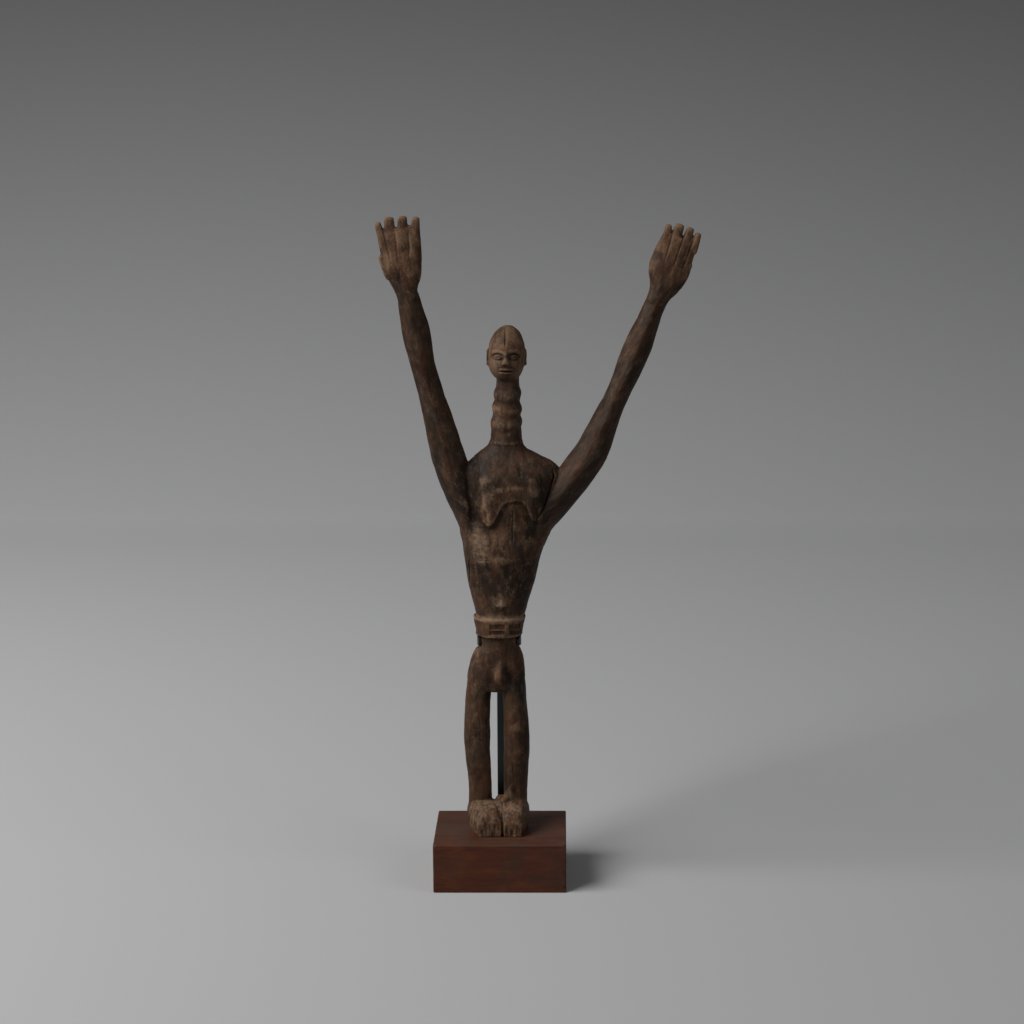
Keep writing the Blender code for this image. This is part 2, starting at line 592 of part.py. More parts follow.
def carve_back(x, z, back):
    away, along = distance_to_line(x, z, SPINE)
    ends = ease(along, 0.0, 0.12) * (1 - ease(along, 0.88, 1.0))
    return -SPINE_DEPTH * (1 - ease(away, 0.0, SPINE_HALF_WIDTH)) * ends * back


def clear_groove(points):
    """Draws the wood in the groove in to the waist's outline, so that the strip always has its place."""
    x, y, z = points.T
    inside = ease(z, GROOVE_FOOT - 0.8, GROOVE_FOOT) * (1 - ease(z, BELT_FOOT - 0.4, BELT_FOOT + 0.4))
    across = np.abs((x - WAIST_CENTRE[0]) / WAIST_HALF_WIDTH) ** WAIST_SQUARENESS
    along = np.abs((y - WAIST_CENTRE[1]) / WAIST_HALF_DEPTH) ** WAIST_SQUARENESS
    beyond = np.maximum(1.0, (across + along) ** (1 / WAIST_SQUARENESS))
    share = 1 + (1 / beyond - 1) * inside
    points[:, 0] = WAIST_CENTRE[0] + (x - WAIST_CENTRE[0]) * share
    points[:, 1] = WAIST_CENTRE[1] + (y - WAIST_CENTRE[1]) * share


def carve(mesh):
    """Moves the points of the skin along Y, inwards for every cut and outwards for every raised form."""
    count = len(mesh.vertices)
    points = np.empty(count * 3, np.float32)
    normals = np.empty(count * 3, np.float32)
    mesh.vertices.foreach_get("co", points)
    mesh.vertices.foreach_get("normal", normals)
    points = points.reshape(-1, 3).astype(float)
    normals = normals.reshape(-1, 3)
    x, y, z = points.T
    front = ease(-normals[:, 1], 0.1, 0.5) * (y < 8)
    move = carve_chest(x, z, front) + carve_navel(x, z, front) + carve_belt(x, z, front)
    move += carve_face(x, z, front) + carve_lines(x, z, front)
    move += carve_back(x, z, ease(normals[:, 1], 0.3, 0.7) * (y > 8))
    points[:, 1] += move
    points -= normals * carve_toes(x, y, z, normals)[:, None]
    clear_groove(points)
    mesh.vertices.foreach_set("co", points.astype(np.float32).ravel())
    mesh.update()


def cut_soles(mesh):
    """Cuts the feet flat at the soles."""
    bm = bmesh.new()
    bm.from_mesh(mesh)
    everything = bm.verts[:] + bm.edges[:] + bm.faces[:]
    bmesh.ops.bisect_plane(bm, geom=everything, plane_co=(0, 0, 0), plane_no=(0, 0, 1), clear_inner=True)
    rim = [e for e in bm.edges if e.is_boundary]
    bmesh.ops.holes_fill(bm, edges=rim, sides=0)
    bm.to_mesh(mesh)
    bm.free()


def figure_mesh():
    """The carved figure in metres, on its place above the plinth."""
    skin = fused(rough_out_figure(), CARVING_GRAIN)
    carve(skin)
    holder = bpy.data.objects.new("carved", skin)
    bpy.context.scene.collection.objects.link(holder)
    thin = holder.modifiers.new("thin_out", "DECIMATE")
    skin.calc_loop_triangles()
    thin.ratio = FIGURE_TRIANGLES / len(skin.loop_triangles)
    thin.use_collapse_triangulate = True
    bpy.context.view_layer.update()
    graph = bpy.context.evaluated_depsgraph_get()
    mesh = bpy.data.meshes.new_from_object(holder.evaluated_get(graph))
    bpy.data.objects.remove(holder)
    cut_soles(mesh)
    mesh.transform(Matrix.Scale(UNIT, 4))
    mesh.transform(Matrix.Translation((0, 0, PLINTH_HEIGHT + SEAT_GAP)))
    mesh.name = "figure"
    return mesh


def box(low, high, edge=0.0):
    """A box between two corners, its edges cut off by a small flat."""
    bm = bmesh.new()
    bmesh.ops.create_cube(bm, size=1.0)
    low, high = Vector(low), Vector(high)
    for vert in bm.verts:
        vert.co = Vector((low + high) / 2) + Vector(a * b for a, b in zip(vert.co, high - low))
    if edge:
        bmesh.ops.bevel(bm, geom=bm.edges[:], offset=edge, segments=1, affect="EDGES")
    mesh = bpy.data.meshes.new("box")
    bm.to_mesh(mesh)
    bm.free()
    return mesh


def combine(thing, other, operation):
    """Joins the other solid to the thing or cuts it out, and hides the other."""
    other.display_type = "WIRE"
    other.hide_render = True
    step = thing.modifiers.new(other.name, "BOOLEAN")
    step.operation = operation
    step.solver = "EXACT"
    step.object = other


def bar_centre():
    """Where the bar stands: on the plinth's middle line, its front just inside the strip's back."""
    strip_back = (WAIST_CENTRE[1] + WAIST_HALF_DEPTH) * UNIT + WAIST_GAP + STRIP_THICKNESS
    return 0.0, strip_back - BRAZE_OVERLAP + BAR_DEPTH / 2


def bar_box(foot, top, growth=0.0, edge=0.0):
    x, y = bar_centre()
    half_width, half_depth = BAR_WIDTH / 2 + growth, BAR_DEPTH / 2 + growth
    return box((x - half_width, y - half_depth, foot), (x + half_width, y + half_depth, top), edge)


def add_plinth(material):
    half_width, half_depth = PLINTH_WIDTH / 2, PLINTH_DEPTH / 2
    block = box((-half_width, -half_depth, 0), (half_width, half_depth, PLINTH_HEIGHT), PLINTH_EDGE)
    plinth = add_object("plinth", block, material)
    hole_foot = PLINTH_HEIGHT - BAR_SUNK - SEAT_GAP
    hole = add_object("bar_hole", bar_box(hole_foot, PLINTH_HEIGHT + BAR_SUNK, SEAT_GAP), material)
    combine(plinth, hole, "DIFFERENCE")


def strip_levels():
    """Bottom and top of the strip, which fills the groove but for its gaps."""
    soles = PLINTH_HEIGHT + SEAT_GAP
    return soles + GROOVE_FOOT * UNIT + HIP_GAP, soles + BELT_FOOT * UNIT - BELT_GAP


def strip_mesh():
    """The strip: upright sections along the waist's outline, from one end round the back to the other."""
    bottom, top = strip_levels()
    half_width = WAIST_HALF_WIDTH * UNIT + WAIST_GAP
    half_depth = WAIST_HALF_DEPTH * UNIT + WAIST_GAP
    angles = np.radians(np.linspace(-STRIP_REACH_DEG, 180 + STRIP_REACH_DEG, STRIP_SEGMENTS + 1))
    power = 2.0 / WAIST_SQUARENESS
    x = np.sign(np.cos(angles)) * np.abs(np.cos(angles)) ** power * half_width + WAIST_CENTRE[0] * UNIT
    y = np.sign(np.sin(angles)) * np.abs(np.sin(angles)) ** power * half_depth + WAIST_CENTRE[1] * UNIT
    inner = np.column_stack([x, y])
    along = np.gradient(inner, axis=0)
    outward = np.column_stack([along[:, 1], -along[:, 0]])
    outward /= np.linalg.norm(outward, axis=1)[:, None]
    outer = inner + outward * STRIP_THICKNESS
    travelled = np.concatenate([[0.0], np.cumsum(np.linalg.norm(np.diff(inner, axis=0), axis=1))])
    to_end = np.minimum(travelled, travelled[-1] - travelled)
    short = np.clip(1 - to_end / STRIP_CORNER, 0, 1)
    drop = STRIP_CORNER * (1 - np.sqrt(1 - short**2))
    bm = bmesh.new()
    rings = []
    for (ix, iy), (ox, oy), less in zip(inner, outer, drop):
        low, high = bottom + less, top - less
        rings.append([(ix, iy, low), (ox, oy, low), (ox, oy, high), (ix, iy, high)])
    add_tube(bm, rings)
    bmesh.ops.recalc_face_normals(bm, faces=bm.faces)
    mesh = bpy.data.meshes.new("strip")
    bm.to_mesh(mesh)
    bm.free()
    return mesh


def add_support(material):
    bar = bar_box(PLINTH_HEIGHT - BAR_SUNK, strip_levels()[1], edge=BAR_EDGE)
    support = add_object("steel_support", bar, material)
    strip = add_object("waist_strip", strip_mesh(), material)
    combine(support, strip, "UNION")


def make_material(name, colour, roughness, metallic=0.0):
    material = bpy.data.materials.new(name)
    material.use_nodes = True
    shader = material.node_tree.nodes["Principled BSDF"]
    shader.inputs["Base Color"].default_value = (*colour, 1.0)
    shader.inputs["Roughness"].default_value = roughness
    shader.inputs["Metallic"].default_value = metallic
    return material


def add_object(name, mesh, material):
    thing = bpy.data.objects.new(name, mesh)
    thing.data.materials.append(material)
    bpy.context.scene.collection.objects.link(thing)
    return thing


def main():
    for old in list(bpy.data.objects):
        bpy.data.objects.remove(old)
    add_object("figure", figure_mesh(), make_material("carved_wood", (0.060, 0.042, 0.030), 0.55))
    add_plinth(make_material("plinth_wood", (0.120, 0.055, 0.034), 0.50))
    add_support(make_material("black_steel", (0.018, 0.018, 0.018), 0.45, 1.0))


main()
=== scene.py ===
"""Dresses the carved figure, its plinth and its steel support for a close look.

Metres, +Z up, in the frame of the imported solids. The figure and all its detail are given in
carver's units: one unit is 1/604 of its height, measured from the middle of the plinth's top face.
"""

import itertools

import bmesh
import bpy
import numpy as np
from mathutils import Matrix, Vector


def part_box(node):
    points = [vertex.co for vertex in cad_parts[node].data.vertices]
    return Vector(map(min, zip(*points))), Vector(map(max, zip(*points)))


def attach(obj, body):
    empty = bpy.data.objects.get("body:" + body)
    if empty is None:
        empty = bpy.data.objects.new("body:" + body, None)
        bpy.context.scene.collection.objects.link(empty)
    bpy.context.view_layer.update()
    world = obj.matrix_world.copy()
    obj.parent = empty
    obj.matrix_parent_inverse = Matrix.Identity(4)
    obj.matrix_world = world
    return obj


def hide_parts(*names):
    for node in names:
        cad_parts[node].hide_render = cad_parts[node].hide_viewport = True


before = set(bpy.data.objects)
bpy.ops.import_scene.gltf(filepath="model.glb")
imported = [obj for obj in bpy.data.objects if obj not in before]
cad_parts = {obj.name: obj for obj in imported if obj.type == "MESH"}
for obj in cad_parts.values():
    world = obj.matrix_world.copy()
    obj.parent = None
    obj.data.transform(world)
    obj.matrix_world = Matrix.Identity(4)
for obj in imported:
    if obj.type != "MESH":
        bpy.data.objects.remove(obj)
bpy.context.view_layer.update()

# Camera: a long lens from a little above and to the right of the figure
CAMERA_PLACE = (0.0589, -1.9124, 0.7546)
CAMERA_PITCH_DEG = 11.374
CAMERA_LENS = 71.0
CAMERA_SHIFT = -48 / 1024

FIGURE_UNITS = 604.0
FIGURE_HEIGHT = 0.604
UNIT = FIGURE_HEIGHT / FIGURE_UNITS
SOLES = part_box("figure")[0][2]

# Fineness of the carved surface
CARVING_GRAIN = 0.72  # voxel size that fuses the roughed-out forms
FIGURE_TRIANGLES = 190000
RING_SIDES = 64
CURVE_STEPS = 3  # sections from one station to the next

# Waist: the groove between the hips and the belt, which the strip clasps
WAIST_CENTRE = (-0.7, 4.5)
WAIST_HALF_WIDTH = 18.4
WAIST_HALF_DEPTH = 15.6
WAIST_SQUARENESS = 2.2
GROOVE_FOOT = 187.6
GROOVE_HEIGHT = 10.5
BELT_FOOT = GROOVE_FOOT + GROOVE_HEIGHT
BELT_HEIGHT = 19.3

# Stations along each form: x, y, z of the centre, half width, half depth
TRUNK = [
    (-3.6, 5, 141, 16, 9.5), (-3.8, 5, 144, 24, 13.5), (-3.9, 5, 151, 28.2, 16.2), (-3.4, 5, 161, 28, 16.8),
    (-2.8, 4.8, 173, 26.2, 16.6), (-2, 4.6, GROOVE_FOOT - 5.6, 22.6, 16.2),
    *[
        (*WAIST_CENTRE, level, WAIST_HALF_WIDTH, WAIST_HALF_DEPTH)
        for level in (GROOVE_FOOT, (GROOVE_FOOT + BELT_FOOT) / 2, BELT_FOOT + 0.4)
    ],
    (-0.5, 4.2, BELT_FOOT + 7.9, 19.5, 17), (0.7, 3.4, 219, 23.7, 19.6), (1.1, 2.8, 232, 26.9, 21.4),
    (2, 2.4, 252, 32.5, 23), (2.5, 2.4, 272, 36, 24), (3.9, 2.6, 286, 39, 24.4), (6.6, 3, 304, 44.8, 25),
    (8.5, 3.4, 322, 47, 25.4), (10, 3.8, 342, 48, 25), (12.5, 4.4, 357, 49, 22.8),
    (11.5, 5.2, 368, 42, 19.4), (8.8, 6.2, 374, 33, 17.4), (6.6, 6.8, 380, 23.4, 15.8),
    (6.7, 7, 385, 17.4, 14.8), (6.8, 7, 390, 15.6, 14),
]
RIGHT_ARM = [
    (-17, 3, 294, 15, 17), (-27, 2.5, 320, 16.4, 18), (-36, 2.5, 341, 16.6, 17.4),
    (-44, 2.5, 361, 16.4, 16.2), (-50, 2, 380, 16, 15), (-57.2, 1, 409, 14.1, 13.4),
    (-64.8, 0, 438, 12, 12.2), (-72, -1, 466, 11.8, 12.2), (-76.5, -2, 491, 13.7, 12.8),
    (-81.2, -3, 513, 12, 11.4), (-84.6, -3.5, 530, 10.2, 9.8),
]
LEFT_ARM = [
    (28, 3, 303, 17, 17), (45, 2.5, 322, 17.2, 18), (62, 2.5, 342, 17, 17.2), (77, 2.5, 361, 16.8, 16),
    (89.4, 2, 380, 16, 15), (101.9, 1, 409, 13.1, 13.4), (114.9, 0, 438, 11.5, 12.2),
    (125.5, -1, 463, 12.9, 12.4), (134.6, -2, 486, 12.8, 12.6), (145, -3, 513, 10.3, 11),
    (151.4, -3.5, 527, 9.9, 9.8),
]
ARM_SQUARENESS = 1.6  # below 2, so a blunt keel runs down the front of each arm
RIGHT_PALM = [
    (-83.4, -3.5, 525, 10, 9.6), (-86, -3.8, 534, 10.4, 9), (-87.4, -4.2, 546, 15.6, 9),
    (-88.8, -4.6, 557, 18.2, 8.6), (-90, -5, 569, 19, 7.6), (-91.4, -5.4, 580, 20, 6.2),
    (-93, -5.6, 590, 20.2, 4.6),
]
LEFT_PALM = [
    (148.8, -3.5, 522, 9.6, 9.6), (153.2, -3.8, 531, 11, 9), (158.4, -4.2, 542, 16.2, 9),
    (161.4, -4.6, 553, 19.4, 8.6), (164.8, -5, 565, 18.8, 7.6), (169, -5.4, 576, 17.8, 6.2),
    (172.4, -5.6, 584, 16.4, 4.6),
]
# Fingers and thumbs: root x, z, tip x, z, half width at the root and at the tip
RIGHT_FINGERS = [
    (-106, 576, -111.8, 597.4, 4.6, 2.9), (-99.6, 576, -101.4, 602, 5.2, 4.6),
    (-89, 576, -88.5, 603, 5.4, 4.2), (-77.2, 574, -76.2, 602.2, 5, 3.5),
    (-101, 547, -109.6, 566.5, 4.6, 2.2),
]
# Low webs of wood left between the right hand's fingers, in the same terms
RIGHT_WEBS = [(-94.8, 576, -94.9, 592.4, 3.4, 2.4), (-82.8, 576, -82.4, 594.6, 3.8, 2.6)]
LEFT_FINGERS = [
    (157, 576, 161, 595.5, 4.4, 2.9), (164.8, 576, 171.2, 595.6, 5.2, 4.4),
    (175.2, 574, 181.2, 592.2, 4.8, 3.5), (183, 571, 188.6, 587.4, 4.4, 2.9),
    (173.4, 546, 181.6, 559, 3.8, 2),
]
FINGER_DEPTH = 4.0
FINGER_BLUNTNESS = 0.45  # 1 rounds the tips fully, 0 cuts them flat
FINGER_PLANE = (-5.2, -6.2)  # y at the roots and at the tips

RIGHT_LEG = [
    (-17, 5.2, 172, 9.6, 12), (-20, 5.4, 154, 11.8, 13.6), (-22, 5.5, 131, 12.2, 14),
    (-22.8, 5, 113, 12.6, 13.6), (-23.2, 4, 93, 12.8, 13), (-22.8, 5.5, 76, 12.4, 13.4),
    (-21.5, 8, 58, 11.9, 12.6), (-20.8, 9, 41, 11.2, 12), (-20.6, 9.6, 26, 11.2, 11.8),
    (-20.6, 9.6, 14, 11.2, 11.6),
]
LEFT_LEG = [
    (10.5, 5.2, 172, 9.6, 12), (12.9, 5.4, 154, 11.4, 13.6), (14.4, 5.5, 131, 11.6, 14),
    (15.4, 5, 113, 12.2, 13.6), (15.9, 4, 93, 12.6, 13), (15.7, 5.5, 76, 12.6, 13.4),
    (15.1, 8, 58, 12.1, 12.6), (14.8, 9, 41, 11.6, 12), (14.8, 9.6, 26, 11.6, 11.8),
    (14.8, 9.6, 14, 11.6, 11.6),
]
# Feet, from heel to toe: x and y of the centre, half width, height of the top
RIGHT_FOOT = [
    (-18.5, 19.5, 11, 21), (-17.8, 12, 15.6, 26.5), (-16, 3, 17.4, 28.5), (-14, -7, 16.6, 28),
    (-12.4, -17, 15, 25.5), (-11.2, -24, 13.6, 21), (-10.8, -27.5, 12.2, 14.5),
]
LEFT_FOOT = [
    (15.6, 19.5, 10.4, 21), (15.6, 12, 13, 26.5), (15.2, 3, 12.8, 30), (14.4, -7, 12.2, 29),
    (13.2, -17, 11.4, 26), (12.4, -24, 10.4, 21), (12.2, -27.5, 9.2, 14),
]
# A wedge of wood left standing on the left instep, against the leg
ANKLE_WEDGE = [(7, 0, 22, 6.5, 7), (8, -1.5, 34, 5.2, 5.2), (11, -2.6, 44, 1.2, 1.3)]
FEET_WEB = [(1.6, 13, 5, 18), (0.8, 4, 7.6, 33.5), (0.8, -6, 7.4, 31), (1.6, -16, 6, 24), (2, -25, 4.6, 14)]
SOLE_DEPTH = 4.0  # the feet are roughed out this far below the soles, and cut flat there

# Neck: a tapering column with three swellings and the hollows between them
NECK_FOOT = (6.6, 7.2, 377)
NECK_TOP = (9.1, 6, 453)
NECK_FOOT_RADIUS = 15.9
NECK_TOP_RADIUS = 10.6
NECK_DEPTH_SHARE = 0.98
NECK_RING_START = 399.5
NECK_RING_PITCH = 14.0
NECK_RINGS = 3
NECK_RING_SWELL = 1.9
NECK_RING_DIP = 2.6  # how far each swelling hangs lower in front
NECK_RING_TILTS = (0.9, -1.6, 0.5)  # from the lowest swelling up: how far each rises to the figure's left

HEAD = [
    (8.6, 4.6, 449, 9.6, 10.5), (8, 1.6, 455, 14, 16.5), (7.7, 0.4, 462, 16.7, 20),
    (7.7, 1.2, 470, 17.6, 21.8), (8, 3, 478.5, 17.5, 21.8), (8.3, 5.2, 486.5, 15.7, 19),
    (8.6, 7.4, 493.5, 12, 14.4), (8.8, 9, 498.3, 6.8, 8.2), (8.9, 9.6, 500.2, 2.6, 3.2),
]

# Collar: a thin ridge round the foot of the neck
COLLAR = [(6.7, 6.5, 387.2, 15.9, 15.3), (6.7, 6.6, 389.6, 15.7, 15.2)]

# Face: brow, nose, lidded eyes and a lipped mouth, placed from the middle of the face
FACE_MIDDLE = 7.8
BROW_LEVEL = 477.6
BROW_ARCH = 0.05
NOSE = [(7.8, -16.6, 478, 1.9, 3.4), (7.8, -20.6, 471.5, 2.6, 3.6), (7.8, -22.8, 466, 3.8, 3)]
EYE_ASIDE = 7.4
EYE_LEVEL = 472.8
EYE_RADII = (4.3, 2.3)  # across and up
MOUTH_LEVEL = 459.4
MOUTH_HALF_WIDTH = 6.4
LIP_HEIGHT = 1.5
EAR_ASIDE = 17.0
EAR_CENTRE = (2.6, 470.5)  # y, z
EAR_RADIUS = 6.0
EAR_THICKNESS = 2.5
EAR_OPENING_DEG = 80.0  # the gap of the C, towards the face

# Chest: the lower edge of the raised breastplate as x, z
CHEST_EDGE = [
    (-20, 322), (-15, 315), (-9.5, 311), (-6.5, 312.5), (-3, 318), (1.5, 326), (4.5, 331.5), (9, 334.5),
    (16, 336), (23, 334.5), (27, 331), (30, 324), (32.5, 317), (36, 315), (48, 322),
]
# Along x: how far the breastplate stands out, and the width of the bevel at its lower edge
CHEST_RELIEF = [
    (-20, 3.2, 2), (-8, 3.8, 4.5), (1, 3, 4.5), (8, 1.9, 1.8), (24, 1.7, 1.8), (31, 3, 3.5), (42, 2, 3),
]
CHEST_SIDES = (-24, -13, 38, 47)  # x where the plate starts, is full, starts to run out, and ends
CHEST_FADE = (352, 376)  # z range in which the plate runs out into the shoulders
# The hollow between the right arm and the breastplate as x, z
CHEST_VALLEY = [(-23.5, 374), (-24.5, 346), (-22.5, 324), (-20, 305)]
CHEST_VALLEY_HALF_WIDTH = 8.5
CHEST_VALLEY_DEPTH = 3.2
# The ridge of the right breast as x, z, with its width to each side
BREAST_RIDGE = [(-8, 311), (-9.5, 320), (-12, 332), (-14, 346)]
BREAST_RIDGE_SIDES = (3.5, 9)
BREAST_RIDGE_RAISE = 1.4

NAVEL = (2.6, 232)  # x, z of a four-sided knob
NAVEL_RADIUS = 6.4
NAVEL_RAISE = 4.4
NAVEL_TIP = 3.2  # the knob's point is worn off at this height
LOIN_WEDGE = [
    (1.4, -9, 177, 3.8, 2.4), (1.3, -10.4, 168, 5.8, 4.8), (1.3, -12, 160, 6.8, 6.2),
    (1.5, -11.6, 153, 4.2, 4.4),
]

# Cracks: x, z along each, on the front, with half width and depth
CHEST_CRACK = [(52, 363), (53.2, 357), (50, 347), (47.4, 340), (44.6, 331), (40.5, 323), (36, 316)]
BREAST_CRACK = [(13.6, 328), (13.9, 316), (13.2, 304), (13.4, 295)]
FOREHEAD_CRACK = [(6.6, 499), (7.2, 492), (6.9, 482)]
CRACKS = [(CHEST_CRACK, 0.9, 3.2), (BREAST_CRACK, 0.45, 1.2), (FOREHEAD_CRACK, 0.6, 1.6)]

# Lines that carry the gaps between the fingers down the palms, as x, z
PALM_LINES = [
    [(-106.6, 590), (-103.4, 576), (-99.6, 561)], [(-95.6, 590), (-94, 574), (-92.8, 560)],
    [(-83, 590), (-82.2, 576), (-82.6, 563)], [(164.6, 590), (160.4, 574), (156.6, 561)],
    [(176, 588), (170.2, 572), (165, 557)], [(184.8, 584), (178.6, 568), (173, 554)],
]
PALM_LINE = (0.8, 0.7)  # half width, depth

# Spine: a shallow groove down the back as x, z
SPINE = [(6.8, 372), (6, 340), (3, 290), (1, 250), (0.4, 226)]
SPINE_HALF_WIDTH = 3.4
SPINE_DEPTH = 1.6

# Belt: a raised band, wider at the top, with two sunk panels in front
BELT = [(-0.6, 4.2, BELT_FOOT + 0.9, 22, 19), (-0.2, 3.6, BELT_FOOT + BELT_HEIGHT, 25.6, 21.8)]
BELT_PANELS = [(-9.6, 5.4), (9.4, 20)]  # x range of each panel
BELT_PANEL_HEIGHTS = (BELT_FOOT + 3.3, BELT_FOOT + 14.1)
BELT_PANEL_RIB = BELT_FOOT + 8.3
BELT_PANEL_DEPTH = 1.6
BELT_HEM = [(-0.7, 4.2, BELT_FOOT, 22.8, 19.8), (-0.7, 4.2, BELT_FOOT + 2, 22.8, 19.8)]

# Toes: the line between the feet, and the cuts that part the toes, each from the sole up
FEET_PARTING = 2.4  # x
FEET_PARTING_DEPTH = 2.4
TOE_CUTS = [  # x at the sole, x and z at the upper end, depth
    (-22.5, -24.5, 15, 0.6), (-16.6, -18, 8, 0.7), (-10.4, -11.6, 10, 0.5), (-4.6, -5.6, 14, 0.9),
    (7.6, 6.8, 10, 0.8), (12.4, 11.2, 7, 0.6), (17.2, 16.4, 13, 0.9),
]
TOE_CUT_HALF_WIDTH = 1.1
INSTEP_TOP = 30.0
FACE_FOOT = 450.0  # nothing of the face is carved below this level


def smooth_stations(stations):
    """The stations and the sections between them, on one Catmull-Rom curve."""
    points = np.array(stations, float)
    padded = np.vstack([2 * points[0] - points[1], points, 2 * points[-1] - points[-2]])
    rows = []
    for i in range(len(points) - 1):
        a, b, c, d = padded[i : i + 4]
        for t in np.arange(CURVE_STEPS) / CURVE_STEPS:
            bend = (2 * a - 5 * b + 4 * c - d) * t**2 + (3 * b - a - 3 * c + d) * t**3
            rows.append(b + 0.5 * ((c - a) * t + bend))
    rows.append(points[-1])
    return np.array(rows)


def add_tube(bm, rings):
    """Joins equal rings of points into one tube with capped ends."""
    loops = [[bm.verts.new(p) for p in ring] for ring in rings]
    count = len(loops[0])
    for low, high in zip(loops, loops[1:]):
        for i in range(count):
            j = (i + 1) % count
            bm.faces.new((low[i], low[j], high[j], high[i]))
    bm.faces.new(list(reversed(loops[0])))
    bm.faces.new(loops[-1])


def outline(half_width, half_depth, squareness, sides=RING_SIDES):
    """Points of a superellipse: squareness 2 is an ellipse, and more is squarer."""
    angle = np.arange(sides) * 2 * np.pi / sides
    power = 2.0 / squareness
    across = np.sign(np.cos(angle)) * np.abs(np.cos(angle)) ** power * half_width
    along = np.sign(np.sin(angle)) * np.abs(np.sin(angle)) ** power * half_depth
    return across, along


def add_limb(bm, stations, squareness=2.0, round_ends=0.0):
    """A form whose sections stand square to its centre line: half width to the side, half depth in Y."""
    rows = smooth_stations(stations)
    centres = rows[:, :3]
    tangents = np.gradient(centres, axis=0)
    tangents /= np.linalg.norm(tangents, axis=1)[:, None]
    caps = (0.9, 0.45) if round_ends else ()
    sections = [(0, -beyond) for beyond in caps]
    sections += [(i, 0.0) for i in range(len(rows))]
    sections += [(len(rows) - 1, beyond) for beyond in reversed(caps)]
    rings = []
    for index, beyond in sections:
        side = np.cross((0.0, 1.0, 0.0), tangents[index])
        side /= np.linalg.norm(side)
        depth = np.cross(tangents[index], side)
        shrink = np.sqrt(1.0 - beyond**2)
        reach = beyond * round_ends * min(rows[index][3:5])
        across, along = outline(rows[index][3] * shrink, rows[index][4] * shrink, squareness)
        centre = centres[index] + tangents[index] * reach
        rings.append(centre + np.outer(across, side) + np.outer(along, depth))
    add_tube(bm, rings)


def add_column(bm, stations, squareness=2.0):
    """A form built of level sections: half width in X, half depth in Y."""
    rings = []
    for x, y, z, half_width, half_depth in smooth_stations(stations):
        across, along = outline(half_width, half_depth, squareness)
        rings.append(np.column_stack([x + across, y + along, np.full(len(across), z)]))
    add_tube(bm, rings)


def add_foot(bm, stations, squareness=3.0):
    """A foot from heel to toe, in upright sections that run on below the sole."""
    rings = []
    for x, y, half_width, top in smooth_stations(stations):
        middle = (top - SOLE_DEPTH) / 2
        across, up = outline(half_width, (top + SOLE_DEPTH) / 2, squareness)
        rings.append(np.column_stack([x + across, np.full(len(across), y), middle + up]))
    add_tube(bm, rings[::-1])


def add_ear(bm, side):
    """A C-shaped ear that opens towards the face."""
    rings = []
    for angle in np.radians(np.linspace(180 + EAR_OPENING_DEG, 540 - EAR_OPENING_DEG, 9)):
        outward = np.array([0.0, np.cos(angle), np.sin(angle)])
        middle = np.array([FACE_MIDDLE + side * EAR_ASIDE, *EAR_CENTRE]) + outward * EAR_RADIUS
        across, along = outline(EAR_THICKNESS, EAR_THICKNESS, 2.0, 12)
        rings.append(middle + np.outer(across * side, (1.0, 0.0, 0.0)) + np.outer(along, outward))
    add_tube(bm, rings)


def add_fingers(bm, fingers):
    for root_x, root_z, tip_x, tip_z, root_half, tip_half in fingers:
        root = np.array((root_x, FINGER_PLANE[0], root_z, root_half, FINGER_DEPTH + 0.6))
        tip = np.array((tip_x, FINGER_PLANE[1], tip_z, tip_half, FINGER_DEPTH - 0.8))
        middle = (root + tip) / 2 + (0, 0, 0, 0.2, 0.1)
        add_limb(bm, [root, middle, tip], 3.0, FINGER_BLUNTNESS)


def add_neck(bm):
    """The neck's column, with swellings that hang lower in front and lean a little."""
    foot, top = np.array(NECK_FOOT), np.array(NECK_TOP)
    angle = np.arange(RING_SIDES) * 2 * np.pi / RING_SIDES
    aside, forward = np.cos(angle), np.clip(-np.sin(angle), 0, 1)
    middles = NECK_RING_START + NECK_RING_PITCH * (np.arange(NECK_RINGS) + 0.5)
    rings = []
    for level in np.linspace(foot[2], top[2], 58):
        share = (level - foot[2]) / (top[2] - foot[2])
        radius = NECK_FOOT_RADIUS + (NECK_TOP_RADIUS - NECK_FOOT_RADIUS) * share
        tilt = np.interp(level, middles, NECK_RING_TILTS)
        ring = (level - tilt * aside + NECK_RING_DIP * (forward**2 - 0.5) - NECK_RING_START) / NECK_RING_PITCH
        swell = NECK_RING_SWELL * np.abs(np.sin(np.pi * ring)) ** 1.4 - 0.3
        radius = radius + np.where((ring > 0) & (ring < NECK_RINGS), swell, 0)
        centre = foot + (top - foot) * share
        across, along = radius * aside, radius * np.sin(angle) * NECK_DEPTH_SHARE
        rings.append(np.column_stack([centre[0] + across, centre[1] + along, np.full(RING_SIDES, level)]))
    add_tube(bm, rings)


